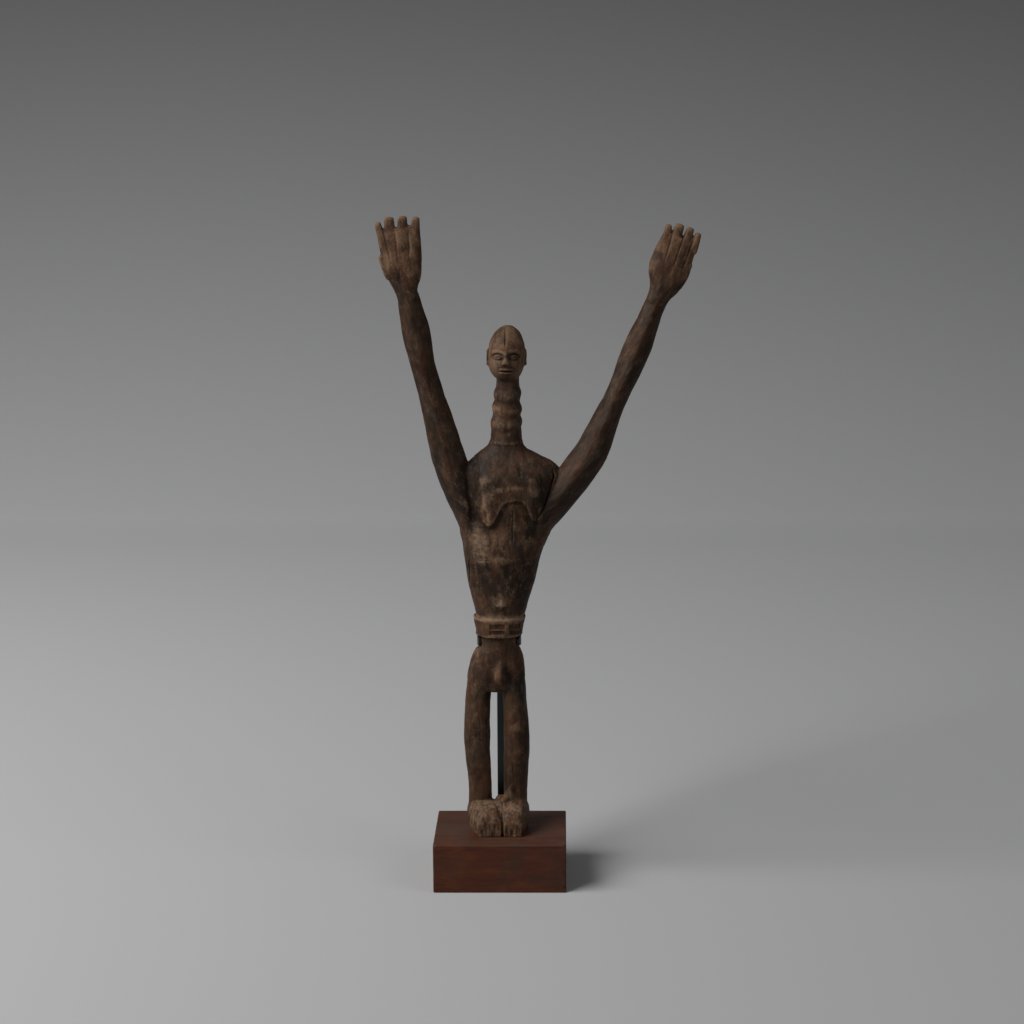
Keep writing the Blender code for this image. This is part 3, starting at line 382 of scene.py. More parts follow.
def rough_out_figure():
    """Every form of the figure as overlapping closed shapes, in units."""
    bm = bmesh.new()
    add_column(bm, TRUNK, 2.2)
    for arm in (RIGHT_ARM, LEFT_ARM):
        add_limb(bm, arm, ARM_SQUARENESS)
    for palm in (RIGHT_PALM, LEFT_PALM):
        add_limb(bm, palm, 2.4)
    add_fingers(bm, RIGHT_FINGERS + RIGHT_WEBS + LEFT_FINGERS)
    for leg in (RIGHT_LEG, LEFT_LEG):
        add_column(bm, leg[::-1], 2.3)
    add_foot(bm, RIGHT_FOOT)
    add_foot(bm, LEFT_FOOT)
    add_foot(bm, FEET_WEB, 2.6)
    add_neck(bm)
    add_column(bm, HEAD)
    add_column(bm, BELT, 2.2)
    add_column(bm, BELT_HEM, 2.2)
    add_column(bm, COLLAR)
    add_limb(bm, NOSE, 2.4)
    add_limb(bm, LOIN_WEDGE[::-1], 1.5, 0.8)
    add_limb(bm, ANKLE_WEDGE, round_ends=1.0)
    for side in (-1, 1):
        add_ear(bm, side)
    return bm


def placed(name, data):
    """A new object of the scene that carries this mesh, light or camera."""
    item = bpy.data.objects.new(name, data)
    bpy.context.scene.collection.objects.link(item)
    return item


def evaluated(holder):
    """The mesh that an object's modifiers make. The object itself is done with."""
    bpy.context.view_layer.update()
    graph = bpy.context.evaluated_depsgraph_get()
    made = bpy.data.meshes.new_from_object(holder.evaluated_get(graph))
    bpy.data.objects.remove(holder)
    return made


def fused(bm, grain):
    """One closed skin round all the forms."""
    mesh = bpy.data.meshes.new("roughed_out")
    bm.to_mesh(mesh)
    bm.free()
    holder = placed("roughed_out", mesh)
    remesh = holder.modifiers.new("fuse", "REMESH")
    remesh.mode = "VOXEL"
    remesh.voxel_size = grain
    relax = holder.modifiers.new("relax", "SMOOTH")
    relax.factor = 0.5
    relax.iterations = 12
    return evaluated(holder)


def ease(value, low, high):
    """0 below low, 1 above high, and a smooth step between."""
    share = np.clip((value - low) / (high - low), 0.0, 1.0)
    return share * share * (3 - 2 * share)


def fade(value, low, high):
    """1 below low, 0 above high, and a smooth step between."""
    return 1 - ease(value, low, high)


def between(value, start, full, ebb, end):
    """1 from full to ebb, running out smoothly to 0 at start and at end."""
    return ease(value, start, full) * fade(value, ebb, end)


def distance_to_line(x, z, line):
    """Distance of each point from a broken line, and the share of the way along it."""
    line = np.array(line, float)
    best = np.full(len(x), 1e9)
    along = np.zeros(len(x))
    lengths = np.linalg.norm(np.diff(line, axis=0), axis=1)
    starts = np.concatenate([[0.0], np.cumsum(lengths)])
    for i, length in enumerate(lengths):
        step = (line[i + 1] - line[i]) / length
        t = np.clip((x - line[i, 0]) * step[0] + (z - line[i, 1]) * step[1], 0, length)
        distance = np.hypot(x - line[i, 0] - t * step[0], z - line[i, 1] - t * step[1])
        nearer = distance < best
        best[nearer] = distance[nearer]
        along[nearer] = (starts[i] + t[nearer]) / starts[-1]
    return best, along


def carve_chest(x, z, front):
    edge = np.interp(x, *np.array(CHEST_EDGE, float).T)
    places, raises, bevels = np.array(CHEST_RELIEF, float).T
    raised, bevel = np.interp(x, places, raises), np.interp(x, places, bevels)
    sides = between(x, *CHEST_SIDES)
    shoulder = fade(z, *CHEST_FADE)
    plate = -raised * np.clip((z - edge) / bevel + 0.8, 0, 1) * shoulder
    hollow = 1.2 * between(edge - z, -0.5, 1, 3, 22)
    line_x, line_z = np.array(BREAST_RIDGE, float).T
    beside = x - np.interp(z, line_z, line_x)
    near, far = BREAST_RIDGE_SIDES
    slope = 1 - np.where(beside < 0, -beside / near, beside / far)
    along = between(z, line_z[0] - 1, line_z[0] + 6, line_z[-1] - 20, line_z[-1])
    ridge = -BREAST_RIDGE_RAISE * np.clip(slope, 0, 1) * along
    away, share = distance_to_line(x, z, CHEST_VALLEY)
    valley = CHEST_VALLEY_DEPTH * fade(away, 0, CHEST_VALLEY_HALF_WIDTH) * ease(share, 0, 0.15)
    return ((plate + hollow) * sides + ridge + valley * fade(share, 0.85, 1)) * front


def carve_navel(x, z, front):
    knob = NAVEL_RAISE * (1 - (np.abs(x - NAVEL[0]) + np.abs(z - NAVEL[1])) / NAVEL_RADIUS)
    return -np.clip(knob, 0, NAVEL_TIP) * front


def carve_belt(x, z, front):
    low, high = BELT_PANEL_HEIGHTS
    level = between(z, low - 0.5, low + 0.5, high - 0.5, high + 0.5)
    rib = 1 - 0.8 * fade(np.abs(z - BELT_PANEL_RIB), 0.3, 1.2)
    across = sum(between(x, a - 0.5, a + 0.5, b - 0.5, b + 0.5) for a, b in BELT_PANELS)
    return BELT_PANEL_DEPTH * level * rib * across * front


def carve_face(x, z, front):
    aside = np.abs(x - FACE_MIDDLE)
    on_head = front * ease(z, FACE_FOOT, FACE_FOOT + 3)
    brow_line = BROW_LEVEL + 1.0 - BROW_ARCH * (aside - EYE_ASIDE) ** 2
    brow = -1.5 * fade(np.abs(z - brow_line), 0.8, 2.6) * fade(aside, 11.5, 14)
    socket = 1.5 * fade(np.hypot((aside - EYE_ASIDE) / 6.2, (z - EYE_LEVEL) / 3.9), 0.75, 1.1)
    eye = np.hypot((aside - EYE_ASIDE) / EYE_RADII[0], (z - EYE_LEVEL) / EYE_RADII[1])
    lid = -1.9 * fade(eye, 0.55, 1.1)
    slit = fade(np.abs(z - EYE_LEVEL), 0.2, 0.8) * between(aside - EYE_ASIDE, -3.4, -2.4, 2.4, 3.4)
    width = fade(aside, MOUTH_HALF_WIDTH - 1.2, MOUTH_HALF_WIDTH + 0.6)
    lips = 0
    for offset in (-1.75, 1.75):
        lips -= 1.9 * fade(np.abs(z - MOUTH_LEVEL - offset), LIP_HEIGHT * 0.45, LIP_HEIGHT)
    gap = 1.6 * fade(np.abs(z - MOUTH_LEVEL), 0.3, 0.9)
    return (brow + socket + lid + slit + (lips + gap) * width) * on_head


def carve_toes(x, y, z, normals):
    """How far the parting and the toe cuts reach into the feet."""
    low = z < INSTEP_TOP
    parting = FEET_PARTING_DEPTH * fade(np.abs(x - FEET_PARTING), 0.2, 1.8) * ease(-y, 4, 12)
    parting *= 1 - 0.7 * ease(z, 12, 24)
    outward = ease(np.maximum(-normals[:, 1], np.abs(normals[:, 0])), 0.3, 0.6)
    cuts = np.zeros(len(x))
    for foot_x, top_x, top_z, depth in TOE_CUTS:
        line = foot_x + (top_x - foot_x) * z / top_z
        cut = fade(np.abs(x - line), TOE_CUT_HALF_WIDTH * 0.3, TOE_CUT_HALF_WIDTH * 1.7)
        cuts = np.maximum(cuts, depth * cut * fade(z, top_z * 0.7, top_z))
    return (parting + cuts * outward * ease(-y, 8, 14)) * low


def carve_lines(x, z, front):
    """The cracks, and the lines down the palms."""
    cut = np.zeros(len(x))
    for line, half_width, depth in CRACKS + [(line, *PALM_LINE) for line in PALM_LINES]:
        away, along = distance_to_line(x, z, line)
        taper = np.minimum(1.0, 5 * np.minimum(along, 1 - along) + 0.25)
        cut = np.maximum(cut, depth * taper * fade(away, half_width * 0.3, half_width * 1.5))
    return cut * front


def carve_back(x, z, back):
    away, along = distance_to_line(x, z, SPINE)
    ends = between(along, 0, 0.12, 0.88, 1)
    return -SPINE_DEPTH * fade(away, 0, SPINE_HALF_WIDTH) * ends * back


def clear_groove(points):
    """Draws the wood in the groove in to the waist's outline, so that the strip always has its place."""
    x, y, z = points.T
    inside = between(z, GROOVE_FOOT - 0.8, GROOVE_FOOT, BELT_FOOT - 0.4, BELT_FOOT + 0.4)
    across = np.abs((x - WAIST_CENTRE[0]) / WAIST_HALF_WIDTH) ** WAIST_SQUARENESS
    along = np.abs((y - WAIST_CENTRE[1]) / WAIST_HALF_DEPTH) ** WAIST_SQUARENESS
    beyond = np.maximum(1.0, (across + along) ** (1 / WAIST_SQUARENESS))
    share = 1 + (1 / beyond - 1) * inside
    points[:, 0] = WAIST_CENTRE[0] + (x - WAIST_CENTRE[0]) * share
    points[:, 1] = WAIST_CENTRE[1] + (y - WAIST_CENTRE[1]) * share


def carve(mesh):
    """Moves the points of the skin along Y, inwards for every cut and outwards for every raised form."""
    points, normals = surface_arrays(mesh)
    x, y, z = points.T
    front = ease(-normals[:, 1], 0.1, 0.5) * (y < 8)
    wander_x = x + HAND_WANDER * layered_noise(points / 5, 101, 2)
    wander_z = z + HAND_WANDER * layered_noise(points / 5, 103, 2)
    move = carve_chest(wander_x, wander_z, front) + carve_belt(wander_x, wander_z, front)
    move += carve_navel(wander_x, wander_z, front)
    move += carve_face(x, z, front) + carve_lines(x, z, front)
    move += carve_back(x, z, ease(normals[:, 1], 0.3, 0.7) * (y > 8))
    points[:, 1] += move
    points -= normals * carve_toes(x, y, z, normals)[:, None]
    clear_groove(points)
    set_points(mesh, points)


def cut_soles(mesh):
    """Cuts the feet flat at the soles."""
    bm = bmesh.new()
    bm.from_mesh(mesh)
    everything = bm.verts[:] + bm.edges[:] + bm.faces[:]
    bmesh.ops.bisect_plane(bm, geom=everything, plane_co=(0, 0, 0), plane_no=(0, 0, 1), clear_inner=True)
    rim = [e for e in bm.edges if e.is_boundary]
    bmesh.ops.holes_fill(bm, edges=rim, sides=0)
    bm.to_mesh(mesh)
    bm.free()


# Fine relief of the wood
UNDULATION = 0.55
KNIFE_FACETS = 0.5
FACET_SIZE = np.array((9, 9, 17))
PITTING = 0.17
FURROW = 0.08
FLANK_CHECK_DEPTH = 0.28
RIB_ARCH_RAISE = 0.55
HAND_WANDER = 0.7  # how far the carved edges stray from their drawn lines
EXTRA_CRACKS = [
    ([(-28.2, 279), (-28.9, 268), (-28, 250)], 0.5, 1.4), ([(36, 316), (34.5, 309)], 0.5, 1),
    ([(-3, 358), (-1, 344)], 0.35, 0.6), ([(20, 372), (23, 352)], 0.35, 0.7),
    ([(-20, 118), (-19, 88)], 0.35, 0.7), ([(12, 74), (13.5, 48)], 0.35, 0.7),
    ([(-62, 430), (-66.5, 462)], 0.4, 0.8), ([(16.8, 160), (17.4, 128)], 0.35, 0.7),
    ([(3.4, 484), (2.6, 494)], 0.3, 0.5),
]
# Level checks round the worn flank: x, z of the left end, length
FLANK_CHECKS = [
    (-29, 309, 22), (-30, 303, 18), (-28, 297, 20), (-27, 291, 24), (-28, 284, 20), (-24, 277, 22),
]
# Where each leg meets its foot, and the faint arch of the ribs, as x, z
FOOT_LEDGE = [(-30, 27), (-5, 32.5), (3, 35), (9, 39), (14, 36), (22, 31)]
RIB_ARCH = [(-6, 268), (0, 273.5), (8, 277), (16, 276.5), (24, 271)]
# Spots worn pale by handling, and painted highlights: the spots across the chest from z 343 to 348, down the
# outer right leg near z 112 and on the flank at z 276 are painted sheen; x, z, half width, half height,
# strength
WORN_AND_SHEEN_SPOTS = [
    (-13, 340, 3.5, 17, 0.3), (-9, 320, 3, 9, 0.7), (1.5, 346, 6, 4, 0.95), (16, 347.5, 8, 2.8, 0.8),
    (-4, 340, 2.5, 5, 0.6), (34, 343.5, 5.5, 6.5, 1.1), (-20, 292, 10, 17, 0.85), (-6, 290, 12, 16, 0.4),
    (2, 277, 15, 4, 0.5), (0, 237, 9, 7, 0.9), (41, 317, 3.5, 7, 0.5), (10, 302, 10, 14, 0.35),
    (26, 292, 8, 10, 0.35), (-22, 96, 7, 12, 0.3), (-4, 420, 9, 30, 0.3), (-26, 152, 7, 14, 0.2),
    (-85, 534, 4.5, 2.5, 0.8), (10.4, 34, 3, 9, 0.8), (-16, 27, 12, 2.5, 0.6), (12, 26, 10, 2.5, 0.5),
    (-4, 158, 1.4, 6, 0.6), (-24, 112, 5, 26, 0.4), (17, 106, 5, 7, 0.8), (2, 330, 12, 8, 0.35),
    (-105, 562, 6, 8, 0.5), (-79, 578, 4, 16, 0.7), (-92, 584, 5, 9, 0.4), (1, 221, 13, 3, 0.6),
    (-17, 276, 7, 3.5, 0.5),
]
# Spots where the wood is redder, in the same terms; the last, with negative strength, greys the painted sheen
# on the flank
WARM_SPOTS = [
    (-16, 243, 9, 17, 0.9), (-4, 315, 5, 8, 0.9), (10, 134, 5, 9, 0.7), (-17, 55, 9, 26, 0.6),
    (16, 80, 8, 28, 0.4), (0, 207, 24, 9, 0.6), (9, 13, 8, 6, 0.8), (38, 318, 6, 10, 0.6),
    (6, 418, 6, 9, 0.6), (0, 157, 7, 8, 0.7), (-17, 276, 9, 6, -0.9),
]
# Spots darkened by oil and smoke, in the same terms; those at x -34 to -22 from z 307 to 350 are painted
# shade in the hollow between the right arm and the breastplate
DARK_AND_SHADE_SPOTS = [
    (-25, 350, 8, 36, 1.6), (-24, 318, 9, 10, 1), (42, 333, 10, 28, 1), (20, 358, 12, 8, 0.6),
    (-16, 366, 7, 7, 0.9), (-22, 268, 14, 5, 0.9), (10, 320, 18, 6, 0.4), (5, 160, 4, 9, 0.9),
    (-14, 314, 8, 2, 0.6), (30, 306, 7, 14, 0.7), (26, 250, 12, 34, 0.8), (-14, 252, 16, 12, 0.5),
    (9, 258, 7, 22, 0.7), (22, 150, 9, 24, 0.6), (-10, 130, 8, 40, 0.5), (24, 90, 8, 40, 0.5),
    (20, 285, 5, 12, 0.4), (6, 160, 3, 9, 0.6), (-97, 548, 11, 5, 0.25), (-34, 342, 9, 26, 0.9),
    (-22, 307, 14, 3.5, 0.5), (18, 17, 4, 6, 0.5), (10, 156, 3, 8, 0.6),
]


def value_noise(points, seed):
    """Smooth noise from -1 to 1 on a lattice of one unit."""
    cell = np.floor(points).astype(np.int64)
    share = ease(points - cell, 0, 1)
    total = np.zeros(len(points))
    for corner in itertools.product((0, 1), repeat=3):
        weight = np.prod(np.where(corner, share, 1 - share), axis=1)
        total += weight * lattice(cell + np.array(corner), seed)
    return total


def layered_noise(points, seed, layers=3):
    total = np.zeros(len(points))
    for layer in range(layers):
        total += value_noise(points * 2**layer, seed + layer) / 2**layer
    return total / 1.75


def along_grain(points):
    """Positions with each arm moved upright over the trunk, as the grain runs along the arms."""
    x, y, z = points.T
    straight = points.copy()
    for side, arm, line in (
        (-1, RIGHT_ARM + RIGHT_PALM[2:], CHEST_VALLEY), (1, LEFT_ARM + LEFT_PALM[2:], CHEST_CRACK)
    ):
        path = np.array([station[:4] for station in arm], float)
        middle = np.interp(z, path[:, 2], path[:, 0])
        reach = 1.25 * np.interp(z, path[:, 2], path[:, 3]) + 5
        line_x, line_z = np.array(line[::-1], float).T
        border = np.interp(z, line_z, line_x)
        belongs = ease(side * x - np.maximum(side * border, side * middle - reach), -2, 2) * ease(z, 290, 340)
        straight[:, 0] -= belongs * (middle - path[0, 0])
    return straight


def smear(points, grain):
    """Where the grain is drawn out sideways between the trunk and an arm: 1 where it is strongest."""
    shift = np.abs(points[:, 0] - grain[:, 0])
    beyond = np.abs(along_grain(points + (2, 0, 0))[:, 0] - grain[:, 0] - 2)
    return np.clip((beyond - 0.6) / 2.5, 0, 1) * ease(shift, 0.5, 3)


def surface_arrays(mesh):
    """The points of a mesh and its normals, one row each."""
    arrays = []
    for key in ("co", "normal"):
        values = np.empty(len(mesh.vertices) * 3, np.float32)
        mesh.vertices.foreach_get(key, values)
        arrays.append(values.reshape(-1, 3).astype(float))
    return arrays


def set_points(mesh, points):
    mesh.vertices.foreach_set("co", points.astype(np.float32).ravel())
    mesh.update()


def knife_facets(points, size, seed):
    """Shallow flats that meet in soft edges, as a blade leaves them: a height from -1 to 1."""
    cell = np.floor(points / size).astype(np.int64)
    highest = np.full(len(points), -1e9)
    for offset in itertools.product((-1, 0, 1), repeat=3):
        corner = cell + np.array(offset)
        middle = (corner + 0.5 + 0.45 * np.stack([lattice(corner, seed + k) for k in range(3)], 1)) * size
        away = (points - middle) / size
        tilt = 0.5 * (away[:, 2] * lattice(corner, seed + 3) + away[:, 0] * lattice(corner, seed + 4))
        highest = np.maximum(highest, tilt - (away**2).sum(1))
    return np.clip(highest * 1.6 + 0.5, -1, 1)


def lattice(corner, seed):
    """A fixed random number from -1 to 1 for each lattice point."""
    code = (corner[:, 0] * 374761393 + corner[:, 1] * 668265263 + corner[:, 2] * 2147483647) & 0xFFFFFFFF
    code = (code + seed * 1274126177) & 0xFFFFFFFF
    code = ((code ^ (code >> 13)) * 1274126177) & 0xFFFFFFFF
    code ^= code >> 16
    return code / 0xFFFFFFFF * 2 - 1


def weather(mesh):
    """Knife flats, faint pitting and grain, and the drying cracks."""
    points, normals = surface_arrays(mesh)
    x, y, z = points.T
    grain = along_grain(points)
    move = UNDULATION * layered_noise(grain / (15, 15, 30), 11, 2)
    wavering = grain + 1.5 * layered_noise(grain / 9, 19, 2)[:, None]
    move += KNIFE_FACETS * knife_facets(wavering, FACET_SIZE, 23)
    move += PITTING * layered_noise(grain / (3.4, 3.4, 5.0), 37, 3)
    move += FURROW * value_noise(grain / (1.9, 1.9, 22), 31)
    for left, level, length in FLANK_CHECKS:
        along = (x - left) / length
        line = level + 1.2 * value_noise(points / 6, level)
        here = fade(np.abs(z - line), 0.3, 1.1) * between(along, 0, 0.2, 0.7, 1)
        move -= FLANK_CHECK_DEPTH * here * (y < 8)
    face = ease(z, 449, 453) * ease(-normals[:, 1], 0.2, 0.5) * (np.abs(x - FACE_MIDDLE) < 16)
    quiet = (1 - 0.7 * face) * (0.2 + 0.8 * ease(z, 0.5, 2.5))
    quiet *= 1 - 0.6 * ease(z, 570, 585)
    points += normals * (move * quiet)[:, None]
    front = ease(-normals[:, 1], 0.05, 0.4) * (y < 10)
    for line, half_width, depth in EXTRA_CRACKS:
        away, along = distance_to_line(x + 0.5 * value_noise(points / 4, 5), z, line)
        taper = between(along, 0, 0.2, 0.8, 1)
        points[:, 1] += depth * taper * fade(away, half_width * 0.4, half_width * 1.5) * front
    away, along = distance_to_line(x, z + 1.5 * value_noise(points / 7, 53), RIB_ARCH)
    step = RIB_ARCH_RAISE * fade(away, 0.5, 6) * between(along, 0, 0.25, 0.75, 1)
    points[:, 1] -= step * front
    set_points(mesh, points)


def thinned(mesh, triangles):
    holder = placed("thinned", mesh)
    thin = holder.modifiers.new("thin_out", "DECIMATE")
    mesh.calc_loop_triangles()
    thin.ratio = min(1.0, triangles / len(mesh.loop_triangles))
    thin.use_collapse_triangulate = True
    return evaluated(holder)


def relief_heights(mesh, rounds):
    """How far each point stands above the same surface smoothed over so many rounds."""
    points, normals = surface_arrays(mesh)
    edges = np.empty(len(mesh.edges) * 2, np.int32)
    mesh.edges.foreach_get("vertices", edges)
    edges = edges.reshape(-1, 2)
    degree = np.bincount(edges.ravel(), minlength=len(points))[:, None]
    smooth = points.copy()
    for _ in range(rounds):
        total = np.zeros_like(smooth)
        for axis in range(3):
            total[:, axis] = np.bincount(edges[:, 0], smooth[edges[:, 1], axis], len(points))
            total[:, axis] += np.bincount(edges[:, 1], smooth[edges[:, 0], axis], len(points))
        smooth = 0.5 * smooth + 0.5 * total / degree
    return np.einsum("ij,ij->i", points - smooth, normals)


def store(mesh, name, values, kind="FLOAT"):
    layer = mesh.attributes.new(name, kind, "POINT")
    key = "vector" if kind == "FLOAT_VECTOR" else "value"
    layer.data.foreach_set(key, np.ascontiguousarray(values, np.float32).ravel())


def spots(x, z, rough, listed):
    """How strongly the listed spots mark each point, with ragged rims."""
    total = np.zeros(len(x))
    for spot_x, spot_z, half_width, half_height, strength in listed:
        away = np.hypot((x - spot_x) / half_width, (z - spot_z) / half_height)
        total += strength * fade(away + 0.45 * rough, 0.25, 1.35)
    return total


def paint_figure(mesh):
    """Stores where the wood is worn pale, where it is dark with handling, and where dust lies; painted shade
    goes into the dark layer in the hollows and under the arms, and painted highlights into the pale layer at
    some spots.
    """
    points, normals = surface_arrays(mesh)
    x, y, z = points.T
    grain = along_grain(points)
    sharp = relief_heights(mesh, 4)
    broad = relief_heights(mesh, 30)
    front = ease(-normals[:, 1], 0, 0.4)
    patchy = layered_noise(grain / (11, 11, 20), 61)
    rough = layered_noise(grain / (3.0, 3.0, 6.0), 71)
    striped = layered_noise(points / (6, 6, 1.6), 73, 2)
    feet = fade(z - np.interp(x, *np.array(FOOT_LEDGE, float).T), -2.5, 1.5)
    hands = ease(z, 530, 556)
    aside = np.abs(x - 8)
    arms = ease(aside, 38, 55) * (1 - hands)
    legs = (1 - feet) * fade(z, 150, 180)
    loin = np.hypot((x - 2) / 11, (z - 163) / 14) < 1
    arch = ease(x, -2, 4) * between(z, 304, 310, 342, 350) * (1 - arms)
    wear = 0.45 * ease(sharp, 0.03, 0.14) * (1 - 0.5 * (arms + legs)) * (1 - 0.6 * arch)
    wear += 0.5 * ease(broad, 0.25, 1) * (1 - 0.8 * loin) * (1 - 0.75 * feet)
    wear *= 0.5 + 0.5 * patchy
    flank = np.hypot((x + 19) / 13, (z - 292) / 19) < 1.2
    share = np.clip(0.75 + 0.3 * patchy + 0.45 * striped * flank, 0, 1.2)
    # The pale layer takes real wear here and also the painted sheen of the spots on the chest, the right leg
    # and the flank
    wear += spots(x, z, rough, WORN_AND_SHEEN_SPOTS) * front * share
    head = ease(z, 446, 456) * (aside < 24)
    neck = ease(z, 388, 394) * (1 - head) * (aside < 24)
    belly = between(z, 228, 236, 272, 284) * (1 - arms)
    chest = between(z, 338, 350, 380, 388) * (1 - arms)
    belt_rim = between(z - BELT_FOOT, 16, 18, 20, 24)
    belt = between(z - BELT_FOOT, -1, 1, 20, 24)
    toes = layered_noise(points / (1.7, 1.7, 12), 97, 2)
    right = ease(-x, 2, 6)
    wear += (0.75 * toes - 0.13 * ease(x, 0, 4)) * feet + 0.07 * right * legs
    wear += (belt_rim + 0.12 * belt) * front * (0.7 + 0.5 * rough)
    wear += (0.18 - 0.08 * (arms + legs)) * patchy + 0.08 * rough - 0.03
    dark_and_shade = 0.42 + 0.26 * layered_noise(grain / (12, 12, 24), 83, 3) * (1 - 0.5 * belly) + 0.1 * rough
    # Darker in hollows: grime and painted shade in cracks and grooves, and painted shade in the broad
    # recesses between the masses
    dark_and_shade += (0.4 - 0.36 * feet - 0.22 * hands - 0.25 * belt) * ease(-sharp, 0.03, 0.2)
    dark_and_shade += 0.35 * ease(-broad, 0.1, 0.9) * (1 - 0.9 * feet)
    # Oil stains, and the painted shade in the hollow beside the breastplate, come in with these spots
    dark_and_shade += spots(x, z, rough, DARK_AND_SHADE_SPOTS) * front
    dark_and_shade += 0.16 * right * arms - 0.1 * right * legs - 0.6 * toes * feet + 0.3 * head * patchy
    # Painted shade: the downward-facing planes of the arms are darkened
    dark_and_shade += 0.3 * arms * ease(-normals[:, 2], 0, 0.35)
    for place, paler, darker in (
        (head, 0.16, -0.12), (neck, -0.14, -0.04), (hands, 0.2, -0.08), (arms, -0.2, 0.04),
        (legs, -0.13, 0.0), (feet, 0.28, -0.2), (chest, -0.08, 0.13), (belt, 0.0, -0.24),
    ):
        wear += paler * place
        dark_and_shade += darker * place
    up = normals[:, 2]
    dust = ease(-sharp, 0.04, 0.25) * (0.2 + 0.8 * ease(up, 0, 0.6)) + 0.25 * ease(up, 0.3, 0.9)
    tinge = layered_noise(points / (4, 4, 11), 101, 2)
    warmth = 0.3 * hands + (0.15 + 1.1 * tinge - 0.4 * patchy) * feet + 0.2 * head + 0.35 + 0.5 * patchy
    warmth += spots(x, z, rough, WARM_SPOTS) * front - 0.35 * arms * ease(x, 20, 30)
    layers = {"wear": wear, "dark_and_shade": dark_and_shade, "dust": dust * (0.6 + 0.6 * rough), "warmth": warmth}
    for name, values in layers.items():
        store(mesh, name, np.clip(values, 0, 1))
    store(mesh, "smear", smear(points, grain))
    store(mesh, "grain", grain * UNIT, "FLOAT_VECTOR")


def figure_piece():
    skin = fused(rough_out_figure(), CARVING_GRAIN)
    carve(skin)
    weather(skin)
    mesh = thinned(skin, FIGURE_TRIANGLES)
    cut_soles(mesh)
    paint_figure(mesh)
    mesh.transform(Matrix.Scale(UNIT, 4))
    mesh.transform(Matrix.Translation((0, 0, SOLES)))
    mesh.shade_smooth()
    return placed("carved_figure", mesh)


# Plinth detail (metres)
WELD = 1e-6  # points nearer than this are one
PLINTH_CUT = 0.0012
PLINTH_WEAR = 0.0004
PLINTH_WEAR_REACH = 0.0012  # how far from an edge it is worn
SAW_MARKS = 0.00005
CHIP_DEPTH = 0.0011
MM = 0.001
# Nicks: x, y, z and reach (mm)
CHIPS = [
    ((64.5, -49.5, 20), 3), ((64.5, -50, 48.5), 1.6), ((-65, -50, 48.8), 1.8),
    ((20, -50.2, 49.5), 1.2), ((-40, -50.2, 49.5), 1), ((64.8, -50, 6), 2.2),
]
# Pale marks: x, y, z of each end and half width, on the front and the top (mm)
SCRATCHES = [
    ((-48, -50, 41), (-46, -50, 38.5), 0.7), ((-10, -50, 40.5), (-9, -50, 34), 0.6),
    ((-39, -50, 46), (-33, -50, 45.5), 0.9), ((36, -50, 12), (41, -50, 10.5), 0.6),
    ((6, -50, 6), (9, -50, 5), 0.7), ((-34, -26.5, 49), (-26, -29, 49), 4.8),
    ((-30, -29, 49), (-14, -31.5, 49), 3), ((64, -50, 17.5), (64.4, -50, 21.5), 0.9),
    ((56, -50, 33), (57, -50, 32.5), 0.5),
]


def distance_to_stretch(points, start, end):
    start, end = np.array(start), np.array(end)
    share = np.clip((points - start) @ (end - start) / ((end - start) ** 2).sum(), 0, 1)
    return np.linalg.norm(points - start - share[:, None] * (end - start), axis=1)


def plinth_piece():
    """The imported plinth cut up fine, with worn edges, nicked corners and faint saw marks."""
    source = bpy.data.objects["plinth"]
    bm = bmesh.new()
    bm.from_mesh(source.data)
    bmesh.ops.remove_doubles(bm, verts=bm.verts[:], dist=WELD)
    low, high = (np.array(corner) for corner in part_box("plinth"))
    for axis, span in enumerate(high - low):
        count = int(span / PLINTH_CUT)
        for i in range(1, count):
            place, normal = Vector(), Vector()
            place[axis] = low[axis] + span * i / count
            normal[axis] = 1
            everything = bm.verts[:] + bm.edges[:] + bm.faces[:]
            bmesh.ops.bisect_plane(bm, geom=everything, dist=1e-7, plane_co=place, plane_no=normal)
    mesh = bpy.data.meshes.new("worn_plinth")
    bm.to_mesh(mesh)
    bm.free()
    points, normals = surface_arrays(mesh)
    gaps = np.sort(np.minimum(np.abs(points - low), np.abs(points - high)), axis=1)
    outer = gaps[:, 0] < 0.002
    edge = fade(gaps[:, 1], 0.0002, PLINTH_WEAR_REACH) * outer
    nicks = ease(layered_noise(points / 0.006, 3, 2), 0.05, 0.7)
    inward = edge * PLINTH_WEAR * nicks
    for place, radius in CHIPS:
        away = np.linalg.norm(points / MM - place, axis=1) / radius
        inward += CHIP_DEPTH * fade(away + 0.3 * value_noise(points / 0.0015, 7), 0.4, 1.1) * outer
    inward += SAW_MARKS * (1 + value_noise(points / (0.03, 0.0022, 0.0022), 9)) * outer
    inward[points[:, 2] < low[2] + 0.0006] = 0
    set_points(mesh, points - normals * inward[:, None])
    scratch = np.zeros(len(points))
    for start, end, half_width in SCRATCHES:
        away = distance_to_stretch(points, start, end)
        scratch = np.maximum(scratch, fade(away, 0, half_width * 1.6))
    store(mesh, "wear", edge * (0.35 + 0.65 * nicks))
    store(mesh, "scratch", scratch)
    return placed("worn_plinth", mesh)


